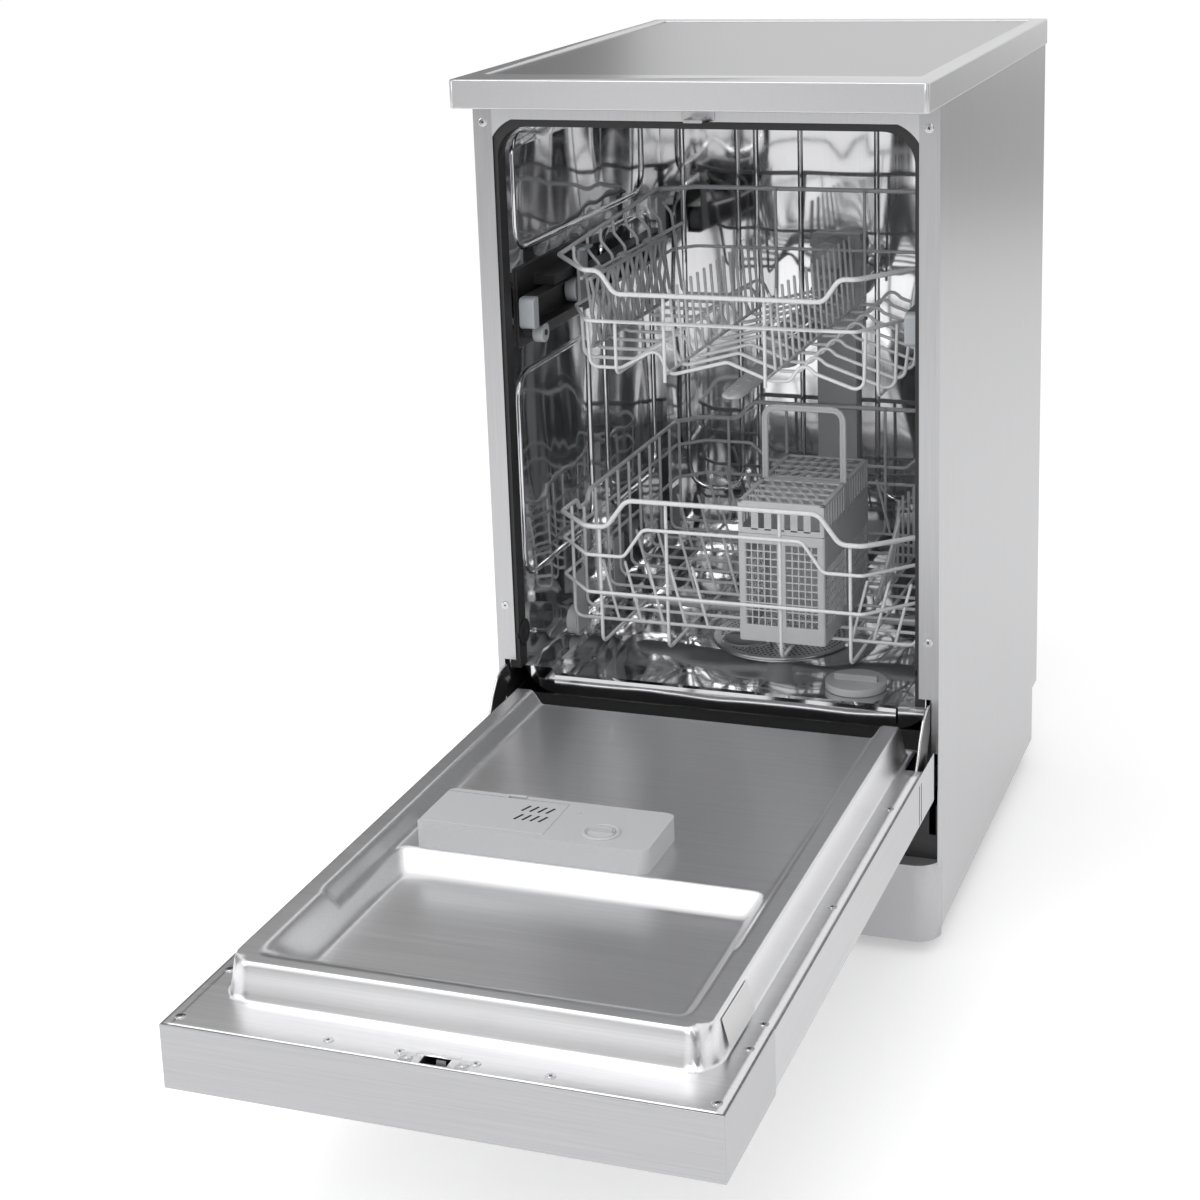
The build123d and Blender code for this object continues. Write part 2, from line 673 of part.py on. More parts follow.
# Control board on four posts that stand on the fascia
with BuildPart() as control_board:
    slab((button_xs[0] - 12, button_xs[-1] + 12), button_along - 16, button_along + 16,
         (board_bottom, board_bottom + 1.6))
    slab((-latch_half - 3, latch_half + 3), latch_along - 26, latch_along, (board_bottom - 1, board_bottom + 3),
         Mode.SUBTRACT)
    for x in (button_xs[0] + 20, button_xs[1] - 30):
        for place in (button_along - 13, button_along + 13):
            bar((x, along(place), fascia_low + fascia_wall), (x, along(place), board_bottom), 2.5)
    for x in button_xs:
        slab((x - 5, x + 5), button_along - 5, button_along + 5, (board_bottom + 1.6, board_bottom + 7))
    slab(window_xs, *window_run, (board_bottom + 1.6, board_bottom + 4))
control_board.part.label = "control_board"
export_step(control_board.part, "parts/control_board.step")

# Screws round the rim of the liner
rim_screw_x = door_width / 2 - 10.0
rim_screw_far = door_reach - 15
rim_screw_spots = [(x, rim_screw_far) for x in (-rim_screw_x, -88, -30, 30, 88, rim_screw_x)]
rim_screw_spots += [(side * rim_screw_x, place) for side in (-1, 1) for place in (111, 311, liner_far - 80, liner_far - 43)]
with BuildPart() as rim_screws:
    for x, place in rim_screw_spots:
        bar((x, along(place), flange_level), (x, along(place), flange_level + screw_head_height), screw_head)
rim_screws.part.label = "rim_screws"
export_step(rim_screws.part, "parts/rim_screws.step")

# Latch: a housing under the far edge of the liner, and the hook that swings out to the catch loop
hook_pivot_along = latch_along - 14.0
hook_pivot_level = hinge_height + 2.0
hook_half = 4.0
with BuildPart() as latch_body:
    slab((-latch_half, latch_half), latch_along - 24, latch_along + 8, (hook_pivot_level - 10, under_flange))
    slab((-strike_half - 1.5, strike_half + 1.5), latch_along - 21, latch_along + 6,
         (hook_pivot_level - 7.5, flange_level), Mode.SUBTRACT)
    bar((-strike_half - 2, along(hook_pivot_along), hook_pivot_level),
        (strike_half + 2, along(hook_pivot_along), hook_pivot_level), axle_radius)
latch_body.part.label = "latch_body"
export_step(latch_body.part, "parts/latch_body.step")

nose = flange_level - 5
with BuildPart() as latch_hook:
    side_profile([(along(hook_pivot_along - 4.5), hook_pivot_level - 5), (along(hook_pivot_along - 4.5), nose),
                  (along(hook_pivot_along + 5), nose), (along(hook_pivot_along + 7), nose - 4),
                  (along(hook_pivot_along + 1), nose - 4), (along(hook_pivot_along + 4.5), hook_pivot_level - 5)],
                 (-hook_half, hook_half))
    bar((-hook_half - 1, along(hook_pivot_along), hook_pivot_level),
        (hook_half + 1, along(hook_pivot_along), hook_pivot_level), axle_radius + running_gap, Mode.SUBTRACT)
latch_hook.part.label = "latch_hook"
export_step(latch_hook.part, "parts/latch_hook.step")

# Detergent dispenser: a housing let into the shelf, a hinged lid, its catch and the rinse-aid cap
lid_near = dispenser_near + 6
lid_far = dispenser_far - 8
lid_left = dispenser_left + 5
catch_x = -84.0
catch_half = 8.0
catch_travel = 2.0
with BuildPart() as dispenser_body:
    slab((dispenser_left, dispenser_right), dispenser_near, dispenser_far, (shelf_height, dispenser_top))
    fillet(dispenser_body.edges().filter_by(Axis.Z), radius=8)
    slab((dispenser_left + 8 + soft_gap, dispenser_right - 8 - soft_gap), dispenser_near + 8 + soft_gap,
         dispenser_far - 8 - soft_gap, (shelf_height - dispenser_depth, shelf_height))
    slab((dispenser_left - 1, dispenser_split + soft_gap), lid_near - soft_gap, lid_far + soft_gap,
         (dispenser_top - lid_thickness, dispenser_top), Mode.SUBTRACT)
    slab((lid_left + 12, dispenser_split - 18), lid_near + 6, lid_far - 6,
         (shelf_height - dispenser_depth + 3, dispenser_top), Mode.SUBTRACT)
    slab((catch_x - catch_half - soft_gap, catch_x + catch_half + soft_gap), dispenser_near, lid_near,
         (dispenser_top - 8, dispenser_top), Mode.SUBTRACT)
    bar((cap_x, along(cap_along), dispenser_top - 12), (cap_x, along(cap_along), dispenser_top),
        cap_radius + soft_gap, Mode.SUBTRACT)
dispenser_body.part.label = "dispenser_body"
export_step(dispenser_body.part, "parts/dispenser_body.step")

with BuildPart() as dispenser_lid:
    slab((dispenser_left, dispenser_split), lid_near, lid_far, (dispenser_top - lid_thickness + soft_gap, dispenser_top))
dispenser_lid.part.label = "dispenser_lid"
export_step(dispenser_lid.part, "parts/dispenser_lid.step")

with BuildPart() as dispenser_catch:
    slab((catch_x - catch_half, catch_x + catch_half), dispenser_near, lid_near - soft_gap - catch_travel,
         (dispenser_top - 8 + soft_gap, dispenser_top + 1))
dispenser_catch.part.label = "dispenser_catch"
export_step(dispenser_catch.part, "parts/dispenser_catch.step")

with BuildPart() as rinse_cap:
    bar((cap_x, along(cap_along), dispenser_top - 12 + soft_gap), (cap_x, along(cap_along), dispenser_top + 1),
        cap_radius)
    slab((cap_x - cap_radius + 1.5, cap_x + cap_radius - 1.5), cap_along - 1.5, cap_along + 1.5,
         (dispenser_top + 1, dispenser_top + 5))
rinse_cap.part.label = "rinse_cap"
export_step(rinse_cap.part, "parts/rinse_cap.step")

# Sump: a bowl through the tub floor with a stub to each pump
sump_outer = sump_radius - soft_gap
sump_wall = 2.0
sump_neck = 40.0
pump_level = 95.0
drain_pump_level = drain_level + 15
sump_stub = 16.0
stub_end = 62.0
with BuildPart() as sump:
    bar((0, deep(sump_place), tub_floor - 3), (0, deep(sump_place), tub_floor), sump_outer + 8)
    for inset, mode in ((0.0, Mode.ADD), (sump_wall, Mode.SUBTRACT)):
        bar((0, deep(sump_place), pump_level), (stub_end, deep(sump_place), pump_level), sump_stub - inset, mode)
        bar((0, deep(sump_place), drain_pump_level), (-stub_end, deep(sump_place), drain_pump_level),
            sump_stub - inset, mode)
        bar((0, deep(sump_place), pump_level + 55 + inset), (0, deep(sump_place), tub_floor + tub_sheet),
            sump_outer - inset, mode)
        bar((0, deep(sump_place), drain_pump_level - 25 + inset), (0, deep(sump_place), pump_level + 56 + inset),
            sump_neck - inset, mode)
sump.part.label = "sump"
export_step(sump.part, "parts/sump.step")

# Fine filter plate over the sump, with the hollow tower that carries the lower spray arm
plate_top = tub_floor + tub_sheet + 2.0
cup_spot = (filter_cup_x, deep(sump_place - filter_cup_forward))
with BuildPart() as filter_plate:
    bar((0, deep(sump_place), tub_floor + tub_sheet), (0, deep(sump_place), plate_top), sump_radius + 5)
    bar((0, deep(sump_place), plate_top), (0, deep(sump_place), lower_arm_bottom - 9), tower_radius + 6)
    bar((0, deep(sump_place), plate_top), (0, deep(sump_place), lower_arm_top - 2), tower_radius)
    bar((0, deep(sump_place), tub_floor), (0, deep(sump_place), lower_arm_top - 2), tower_radius - 3, Mode.SUBTRACT)
    bar((*cup_spot, tub_floor), (*cup_spot, plate_top + 1), filter_cup_radius + soft_gap, Mode.SUBTRACT)
filter_plate.part.label = "filter_plate"
export_step(filter_plate.part, "parts/filter_plate.step")

# Filter cup, open above, with a bar across to turn it by
with BuildPart() as filter_cup:
    bar((*cup_spot, tub_floor - 44), (*cup_spot, plate_top + 1), filter_cup_radius)
    bar((*cup_spot, tub_floor - 42), (*cup_spot, plate_top + 1), filter_cup_radius - 2, Mode.SUBTRACT)
    block((cup_spot[0] - filter_cup_radius + 1, cup_spot[0] + filter_cup_radius - 1),
          (cup_spot[1] - 2, cup_spot[1] + 2), (plate_top - 6, plate_top + 3))
filter_cup.part.label = "filter_cup"
export_step(filter_cup.part, "parts/filter_cup.step")

# Softener tank with its neck up through the tub floor, and the salt cap
tank_top = tub_floor - 9.0
salt_spot = (salt_x, deep(salt_place))
with BuildPart() as softener_tank:
    block((salt_x - 34, salt_x + 58), (deep(salt_place - 66), deep(salt_place + 72)), (tank_top - 85, tank_top))
    bar((*salt_spot, tank_top), (*salt_spot, tub_floor + tub_sheet), salt_hole - soft_gap)
    block((salt_x - 31, salt_x + 55), (deep(salt_place - 63), deep(salt_place + 69)), (tank_top - 82, tank_top - 3),
          Mode.SUBTRACT)
    bar((*salt_spot, tank_top - 10), (*salt_spot, tub_floor + 5), salt_hole - 5, Mode.SUBTRACT)
    bar((*salt_spot, base_floor + base_wall), (*salt_spot, tank_top - 85), 14)
softener_tank.part.label = "softener_tank"
export_step(softener_tank.part, "parts/softener_tank.step")

with BuildPart() as salt_cap:
    bar((*salt_spot, tank_top - 6), (*salt_spot, tub_floor + tub_sheet + soft_gap), salt_hole - 5 - running_gap)
    bar((*salt_spot, tub_floor + tub_sheet + soft_gap), (*salt_spot, tub_floor + 9), salt_hole + 4)
    block((salt_x - 22, salt_x + 22), (salt_spot[1] - 3, salt_spot[1] + 3), (tub_floor + 9, tub_floor + 15))
salt_cap.part.label = "salt_cap"
export_step(salt_cap.part, "parts/salt_cap.step")

# Wash pump with its foot, on the sump's right stub
with BuildPart() as wash_pump:
    bar((stub_end, deep(sump_place), pump_level), (stub_end + 34, deep(sump_place), pump_level), 36)
    bar((stub_end + 34, deep(sump_place), pump_level), (stub_end + 110, deep(sump_place), pump_level), 29)
    block((stub_end + 46, stub_end + 96), (deep(sump_place - 24), deep(sump_place + 24)),
          (base_floor + base_wall, pump_level - 18))
wash_pump.part.label = "wash_pump"
export_step(wash_pump.part, "parts/wash_pump.step")

# Drain pump on the left stub, with the spigot that leaves through the rear of the base
with BuildPart() as drain_pump:
    bar((-stub_end, deep(sump_place), drain_pump_level), (-stub_end - 28, deep(sump_place), drain_pump_level), 26)
    bar((-stub_end - 28, deep(sump_place), drain_pump_level),
        (-stub_end - 80, deep(sump_place), drain_pump_level), 20)
    bar((drain_x, deep(sump_place + 12), drain_level), (drain_x, deep(collar_end), drain_level), drain_pipe)
    bar((drain_x, deep(collar_end), drain_level), (drain_x, deep(body_depth - 5), drain_level), drain_radius)
    bar((drain_x, deep(base_rear_low), drain_level), (drain_x, deep(body_depth - 5), drain_level),
        drain_radius - 2, Mode.SUBTRACT)
drain_pump.part.label = "drain_pump"
export_step(drain_pump.part, "parts/drain_pump.step")

# Inlet valve with its threaded inlet through the rear of the base
with BuildPart() as inlet_valve:
    block((valve_x - 25, valve_x + 25), (deep(base_rear_low - base_wall - 40), deep(base_rear_low - base_wall)),
          (base_floor + base_wall, valve_level + 26))
    bar((valve_x, deep(base_rear_low - base_wall), valve_level), (valve_x, deep(collar_end), valve_level),
        inlet_collar)
    bar((valve_x, deep(collar_end), valve_level), (valve_x, deep(body_depth - 10), valve_level), inlet_radius)
    bar((valve_x, deep(base_rear_low), valve_level), (valve_x, deep(body_depth - 9), valve_level), 9,
        Mode.SUBTRACT)
inlet_valve.part.label = "inlet_valve"
export_step(inlet_valve.part, "parts/inlet_valve.step")

# Spray duct down the rear wall and forward along the floor, with two docking holes
duct_face = tub_rear - tub_sheet - duct_depth
with BuildPart() as rear_duct:
    block((-duct_half, duct_half), (deep(duct_face), deep(tub_rear - tub_sheet)), (duct_top - 114, duct_top))
    block((-duct_half + 5, duct_half - 5), (deep(duct_face), deep(tub_rear - tub_sheet)),
          (tub_floor + tub_sheet, duct_top))
    block((-duct_half + 5, duct_half - 5), (deep(sump_place + sump_radius + 5), deep(duct_face)),
          (tub_floor + tub_sheet, tub_floor + tub_sheet + 12))
    for level in (docking_level, second_docking_level):
        bar((0, deep(duct_face - 1), level), (0, deep(duct_face + 9), level), docking_radius, Mode.SUBTRACT)
rear_duct.part.label = "rear_duct"
export_step(rear_duct.part, "parts/rear_duct.step")

# Roller plates on the tub walls, with the pins that the rail rollers turn on and a pad over the rail
roller_xs = (rail_inner + 3, rail_outer - 2)
below_rail = rail_low - rail_roller_gap
roller_spots = [(place, below_rail) for place in lower_roller_places]
with BuildPart() as roller_plates:
    for side in (-1, 1):
        block(sided(side, tub_inner - 2.5, tub_inner),
              (deep(lower_roller_places[0] - 16), deep(lower_roller_places[1] + 16)),
              (below_rail - 14, rail_high + 24))
        block(sided(side, roller_xs[0], tub_inner - 2.5), (deep(pad_places[0]), deep(pad_places[1])),
              (rail_high + soft_gap, rail_high + 10))
        for place, level in roller_spots:
            plate_point = (side * (tub_inner - 2.5), deep(place), level)
            bar(plate_point, (side * (roller_xs[0] - 1), deep(place), level), axle_radius)
            bar(plate_point, (side * (roller_xs[1] + soft_gap), deep(place), level), axle_radius + 3)
roller_plates.part.label = "roller_plates"
export_step(roller_plates.part, "parts/roller_plates.step")

for (place, level), name in zip(roller_spots, ("front_rail_rollers", "rear_rail_rollers")):
    with BuildPart() as rollers:
        for side in (-1, 1):
            inner_end = (side * roller_xs[0], deep(place), level)
            outer_end = (side * roller_xs[1], deep(place), level)
            bar(inner_end, outer_end, rail_roller_radius)
            bar(inner_end, outer_end, axle_radius + running_gap, Mode.SUBTRACT)
    rollers.part.label = name
    export_step(rollers.part, f"parts/{name}.step")

# Telescopic rails: channels open towards the rack, with a cap on the front end
cap_length = 14.0
with BuildPart() as upper_rails:
    for side in (-1, 1):
        block(sided(side, rail_inner, rail_outer), (deep(rail_front + cap_length), deep(rail_front + rail_length)),
              (rail_low, rail_high))
        block(sided(side, rail_inner - 1, rail_outer - rail_sheet),
              (deep(rail_front), deep(rail_front + rail_length + 1)),
              (rail_low + rail_sheet, rail_high - rail_sheet), Mode.SUBTRACT)
upper_rails.part.label = "upper_rails"
export_step(upper_rails.part, "parts/upper_rails.step")

with BuildPart() as rail_caps:
    for side in (-1, 1):
        block(sided(side, rail_inner, rail_outer), (deep(rail_front), deep(rail_front + cap_length)),
              (rail_low, rail_high))
    fillet(rail_caps.edges().filter_by(Axis.X).group_by(Axis.Y)[0], radius=5)
rail_caps.part.label = "rail_caps"
export_step(rail_caps.part, "parts/rail_caps.step")

# Lower spray arm, which turns on the tower of the filter plate
with BuildPart() as lower_spray_arm:
    with BuildSketch(Plane.XY.offset(lower_arm_bottom)):
        with Locations((0, deep(sump_place))):
            SlotOverall(2 * lower_arm_radius, arm_width)
    extrude(amount=arm_thickness)
    bar((0, deep(sump_place), lower_arm_bottom - 8), (0, deep(sump_place), lower_arm_top + 6), tower_radius + 7)
    bar((0, deep(sump_place), lower_arm_bottom - 9), (0, deep(sump_place), lower_arm_top - 1),
        tower_radius + running_gap, Mode.SUBTRACT)
lower_spray_arm.part.label = "lower_spray_arm"
export_step(lower_spray_arm.part, "parts/lower_spray_arm.step")

# Feed pipe under the upper rack: docking cup, drop, run and the stub that the arm hangs on
dock_end = duct_face - soft_gap
pipe_rear = upper_front + upper_length + rim_wire / 2
with BuildPart() as feed_pipe:
    bar((0, deep(pipe_rear), docking_level), (0, deep(dock_end), docking_level), 17)
    bar((0, deep(dock_end - 14), docking_level), (0, deep(dock_end), docking_level), 14, Mode.SUBTRACT)
    block((-pipe_radius - 1, pipe_radius + 1), (deep(pipe_rear), deep(pipe_rear + 14)),
          (pipe_level - pipe_radius, docking_level + 14))
    bar((0, deep(upper_arm_place), pipe_level), (0, deep(pipe_rear + 8), pipe_level), pipe_radius)
    bar((0, deep(upper_arm_place), upper_arm_top + 1), (0, deep(upper_arm_place), pipe_level), stub_radius)
feed_pipe.part.label = "feed_pipe"
export_step(feed_pipe.part, "parts/feed_pipe.step")

with BuildPart() as upper_spray_arm:
    with BuildSketch(Plane.XY.offset(upper_arm_bottom)):
        with Locations(Location((0, deep(upper_arm_place)), 90)):
            SlotOverall(2 * upper_arm_radius, arm_width)
    extrude(amount=arm_thickness)
    bar((0, deep(upper_arm_place), upper_arm_top), (0, deep(upper_arm_place), pipe_level - pipe_radius - 1),
        stub_radius + 5)
    bar((0, deep(upper_arm_place), upper_arm_top), (0, deep(upper_arm_place), pipe_level),
        stub_radius + running_gap, Mode.SUBTRACT)
upper_spray_arm.part.label = "upper_spray_arm"
export_step(upper_spray_arm.part, "parts/upper_spray_arm.step")

# Lower rack: long wires below, cross wires turned up at the sides, three loops round the outside
rim_levels = (422.0, 393.0, 391.0, 412.0)
middle_levels = (393.0, 363.0, 363.0, 344.0)
band_level = 324.0
rear_chamfer = 28.0
dip = (91.0, 126.0, 380.0)


def lower_loop(diameter, levels, crest, foot, dipped=False):
    """A loop round the lower rack: crest and foot are half widths of its raised front and rear."""
    reach = (rack_wire + diameter) / 2
    x = lower_half + reach
    y0 = deep(lower_first) - reach
    y1 = deep(lower_last) + reach
    raised, corner, sides, rear = levels
    half = [(crest, y0, raised), (foot, y0, corner), (lower_corner, y0, corner), (x, y0 + lower_chamfer, sides)]
    if dipped:
        start, end = deep(lower_front + dip[0]), deep(lower_front + dip[1])
        half += [(x, start, sides), (x, start + 5, dip[2]), (x, end - 5, dip[2]), (x, end, sides)]
    half += [(x, y1 - rear_chamfer, sides), (lower_corner + 15, y1, sides), (foot, y1, sides), (crest, y1, rear)]
    return bent(both_sides(half), diameter, closed=True)


band_x = lower_half + rack_wire
band_ys = (deep(lower_first) - rack_wire, deep(lower_last) + rack_wire)
band_half = [(lower_corner, band_ys[0], band_level), (band_x, band_ys[0] + lower_chamfer, band_level),
             (band_x, band_ys[1] - rear_chamfer, band_level), (lower_corner + 15, band_ys[1], band_level)]
cross_places = [lower_front + cross_start + cross_pitch * i for i in range(cross_count)]
lower_wires = lower_loop(rim_wire, rim_levels, 97.7, 119.0, dipped=True)
lower_wires += lower_loop(rack_wire, middle_levels, 81.0, 102.0)
lower_wires += bent(both_sides(band_half), rack_wire, closed=True)
for x, top_front, top_rear in ((58, rim_levels[0], rim_levels[3]), (128, rim_levels[1], rim_levels[2])):
    for side in (-1, 1):
        lower_wires += bent([(side * x, deep(lower_first), top_front + 1), (side * x, deep(lower_first), lower_floor),
                             (side * x, deep(lower_last), lower_floor), (side * x, deep(lower_last), top_rear + 1)],
                            rack_wire)
bank_x = 110.0
lower_wires += straight((bank_x, deep(cross_places[0] - 6), lower_floor),
                        (bank_x, deep(cross_places[-1] + 6), lower_floor), rack_wire)
for place in cross_places:
    in_dip = dip[0] < place - lower_front < dip[1]
    top = (dip[2] if in_dip else rim_levels[2]) + 1
    lower_wires += bent([(-lower_half, deep(place), top), (-lower_half, deep(place), cross_level),
                         (lower_half, deep(place), cross_level), (lower_half, deep(place), top)], rack_wire)

# Its tines: rows across, which lean left, and a bank along the right
tine_foot = cross_level + rack_wire / 2
tine_spots = [(-132 + 24 * i, cross_places[row], -lower_lean) for row in (0, 3, 7, 10) for i in range(5)]
tine_spots += [(x, cross_places[row], -lower_lean) for row in (7, 10) for x in (0, 24, 70)]
tine_spots += [(x, cross_places[0], lower_lean) for x in (114, 136, 158)]
for x, place, lean in tine_spots:
    lower_wires += straight((x, deep(place), tine_foot), (x + lean, deep(place), tine_foot + lower_tine), tine_wire)
bank_foot = lower_floor + rack_wire / 2
for i in range(10):
    place = lower_front + 172 + 26.5 * i
    if min(abs(place - cross) for cross in cross_places) < rack_wire:
        place += rack_wire
    lean = max(0.0, 26.0 - 6.0 * i)
    lower_wires += straight((bank_x, deep(place), bank_foot), (bank_x + lean, deep(place), bank_foot + 96 - 2.8 * i),
                            tine_wire)
write_group(lower_wires, "lower_rack_frame")

# Wheel carriers clipped to the side wires, each with a headed axle
carrier_sheet = 1.8
carrier_face = lower_half + rack_wire / 2
wheel_inner = carrier_face + carrier_sheet + slide_gap
wheel_outer = wheel_inner + wheel_width
with BuildPart() as wheel_carriers:
    for side in (-1, 1):
        for place in wheel_places:
            spot = deep(lower_front + place)
            block(sided(side, carrier_face, carrier_face + carrier_sheet), (spot - 16, spot + 16),
                  (wheel_level - 9, band_level - 8))
            bar((side * (carrier_face + carrier_sheet), spot, wheel_level),
                (side * (wheel_outer + soft_gap), spot, wheel_level), axle_radius)
            bar((side * (wheel_outer + soft_gap), spot, wheel_level),
                (side * (wheel_outer + 1.5), spot, wheel_level), axle_radius + 2)
wheel_carriers.part.label = "wheel_carriers"
export_step(wheel_carriers.part, "parts/wheel_carriers.step")

# Three pairs of wheels, left and right on one line
for number, place in enumerate(wheel_places, start=1):
    spot = deep(lower_front + place)
    with BuildPart() as wheels:
        for side in (-1, 1):
            inner_end = (side * wheel_inner, spot, wheel_level)
            outer_end = (side * wheel_outer, spot, wheel_level)
            bar(inner_end, outer_end, wheel_radius)
            bar((side * (wheel_outer - 3), spot, wheel_level), outer_end, wheel_radius - 3, Mode.SUBTRACT)
            bar(inner_end, outer_end, axle_radius + 3)
            bar(inner_end, outer_end, axle_radius + running_gap, Mode.SUBTRACT)
    wheels.part.label = f"wheel_pair_{number}"
    export_step(wheels.part, f"parts/wheel_pair_{number}.step")

# Cutlery basket: two open bays, a bridge between them and the handle on it
basket_xs = (basket_left, basket_right)
basket_ys = (deep(lower_front + basket_front), deep(lower_front + basket_rear))
bridge_half = 5.0
bridge_y = (basket_ys[0] + basket_ys[1]) / 2
handle_width = 7.0
handle_half = 2.5
with BuildPart() as cutlery_basket:
    block(basket_xs, basket_ys, (tine_foot, basket_seam))
    fillet(cutlery_basket.edges().filter_by(Axis.Z), radius=8)
    for bay in ((basket_ys[0] + basket_wall, bridge_y - 1), (bridge_y + 1, basket_ys[1] - basket_wall)):
        block((basket_left + basket_wall, basket_right - basket_wall), bay, (tine_foot + basket_wall, basket_seam),
              Mode.SUBTRACT)
    block(basket_xs, (bridge_y - bridge_half, bridge_y + bridge_half), (basket_seam - 20, basket_top))
    for x in (basket_left, basket_right - handle_width):
        block((x, x + handle_width), (bridge_y - handle_half, bridge_y + handle_half), (basket_top, handle_top))
    block(basket_xs, (bridge_y - handle_half, bridge_y + handle_half), (handle_top - handle_width, handle_top))
    fillet(cutlery_basket.edges().filter_by(Axis.Y).group_by(Axis.Z)[-1], radius=6)
cutlery_basket.part.label = "cutlery_basket"
export_step(cutlery_basket.part, "parts/cutlery_basket.step")

# Two lids of the basket: a top with skirts, hinged beside the bridge
lid_bottom = basket_seam + soft_gap
for side, name in ((-1, "basket_lid_front"), (1, "basket_lid_rear")):
    hinge_edge = bridge_y + side * (bridge_half + soft_gap)
    outer_edge = basket_ys[0] if side < 0 else basket_ys[1]
    lid_ys = tuple(sorted((hinge_edge, outer_edge)))
    with BuildPart() as basket_lid:
        block(basket_xs, lid_ys, (lid_bottom, basket_top))
        fillet(basket_lid.edges().filter_by(Axis.Z).group_by(Axis.Y)[0 if side < 0 else -1], radius=8)
        block((basket_left + basket_wall, basket_right - basket_wall),
              tuple(sorted((hinge_edge, outer_edge - side * basket_wall))), (lid_bottom, basket_top - basket_wall),
              Mode.SUBTRACT)
        for i in range(4):
            for j in range(5):
                x = basket_left + 15 + 19.5 * i
                y = lid_ys[0] + 12 + 15 * j
                block((x - 5.5, x + 5.5), (y - 4, y + 4), (basket_top - 5, basket_top + 1), Mode.SUBTRACT)
    basket_lid.part.label = name
    export_step(basket_lid.part, f"parts/{name}.step")


# Upper rack: waved cross wires on the side slope, a rim that rises to the rear, a lower loop
def upper_x(level):
    """Half width of the sloping sides, at the centre of the wire."""
    return upper_half - upper_side_slope * (upper_rim - level)


def upper_side_level(place):
    """Level of the rim along the sides, which rises from the front to the rear."""
    share = (place - upper_front - upper_chamfer) / (upper_length - upper_rear_chamfer - upper_chamfer)
    return upper_rim + upper_rise * min(1.0, max(0.0, share))


def upper_loop(diameter, middle, corner, side_levels, crest, foot):
    """A loop round the upper rack with a lower middle at the front."""
    reach = (rack_wire + diameter) / 2
    y0 = deep(upper_first) - reach
    y1 = deep(upper_last) + reach
    half = [(crest, y0, middle), (foot, y0, corner), (135, y0, corner),
            (upper_x(side_levels[0]) + reach, y0 + upper_chamfer, side_levels[0]),
            (upper_x(side_levels[1]) + reach, y1 - upper_rear_chamfer, side_levels[1]), (150, y1, side_levels[1])]
    return bent(both_sides(half), diameter, closed=True)


loop_level = 601.0
valleys = ((-56.0, 546.0), (45.0, 546.0))
runners = ((-106.0, 551.0), (148.0, 535.0))
wave = [(-upper_x(551), 551), runners[0], (-68, 572), valleys[0], (3, 562), valleys[1], (65, 546), (79, 566),
        (90, 555), runners[1], (upper_x(535), 535)]
upper_places = [upper_front + upper_start + upper_pitch * i for i in range(upper_count)]
upper_wires = upper_loop(rim_wire, 628.5, 651.0, (upper_rim, upper_rim + upper_rise), 104.0, 119.5)
upper_wires += upper_loop(rack_wire, loop_level, loop_level, (loop_level, loop_level), 60.0, 100.0)
corner_out = upper_x(loop_level) + rack_wire - 135
corner_touch = rack_wire * (1 + (corner_out / upper_chamfer) ** 2) ** 0.5
for place in upper_places:
    tops = loop_level if place - upper_front < upper_chamfer else upper_side_level(place)
    corner_x = 135 + corner_out * (place - upper_first + rack_wire) / upper_chamfer - corner_touch
    end = min(upper_x(tops), corner_x)
    left_low, right_low = min(upper_x(551), end - 2), min(upper_x(535), end - 2)
    line = [(-end, tops), (-left_low, 551)]
    line += [(x, z) for x, z in wave[1:-1] if abs(x) < right_low - 7]
    line += [(right_low, max(535.0, 555 - (right_low - 90) * 20 / 58)), (end, tops)]
    upper_wires += bent([(x, deep(place), z) for x, z in line], rack_wire)
cup_shelf_run = (72.0, 312.0)
cup_shelf_drop = 71.0
shelf_hinge_level = 627.0
shelf_hinge_x = rack_wire - upper_x(shelf_hinge_level)
upper_wires += straight((shelf_hinge_x, deep(upper_front + upper_chamfer + 8), shelf_hinge_level),
                        (shelf_hinge_x, deep(upper_last), shelf_hinge_level), rack_wire)
row_base = (rack_wire + tine_wire) / 2
for x, level in valleys:
    upper_wires += straight((x, deep(upper_first), level + row_base), (x, deep(upper_last), level + row_base),
                            tine_wire)
    for place, top in ((upper_first, 629.5), (upper_last, upper_rim + upper_rise + 1)):
        upper_wires += straight((x, deep(place), level - 4), (x, deep(place), top), rack_wire)
for x, level in runners:
    start = upper_first - rack_wire + upper_chamfer * (abs(x) - 135 + corner_touch) / corner_out
    start = max(upper_first, start)
    upper_wires += bent([(x, deep(start), loop_level + 1), (x, deep(start), level - rack_wire),
                         (x, deep(upper_last), level - rack_wire), (x, deep(upper_last), loop_level + 1)], rack_wire)
for x, level in valleys:
    foot = level + row_base + tine_wire / 2
    for i in range(15):
        place = upper_front + 40 + 22 * i
        upper_wires += straight((x, deep(place), foot), (x - 5, deep(place), foot + upper_tine), tine_wire)

# Hangers on the upper rack's sides, with the pins of the rollers that run inside the rails
hanger_outer = rail_inner - slide_gap
rack_roller_xs = (rail_inner + 1.0, rail_outer - rail_sheet - 1.5)
with BuildPart() as roller_hangers:
    for side in (-1, 1):
        for place in rack_roller_places:
            spot = deep(upper_front + place)
            level = upper_side_level(upper_front + place)
            rim_outer = upper_x(level) + rack_wire / 2 + rim_wire - soft_gap
            block(sided(side, rim_outer, hanger_outer), (spot - 12, spot + 12), (rail_level - 12, level + 2))
            bar((side * hanger_outer, spot, rail_level), (side * (rack_roller_xs[1] - 0.5), spot, rail_level),
                axle_radius)
write_group(upper_wires + list(roller_hangers.part.solids()), "upper_rack_frame")

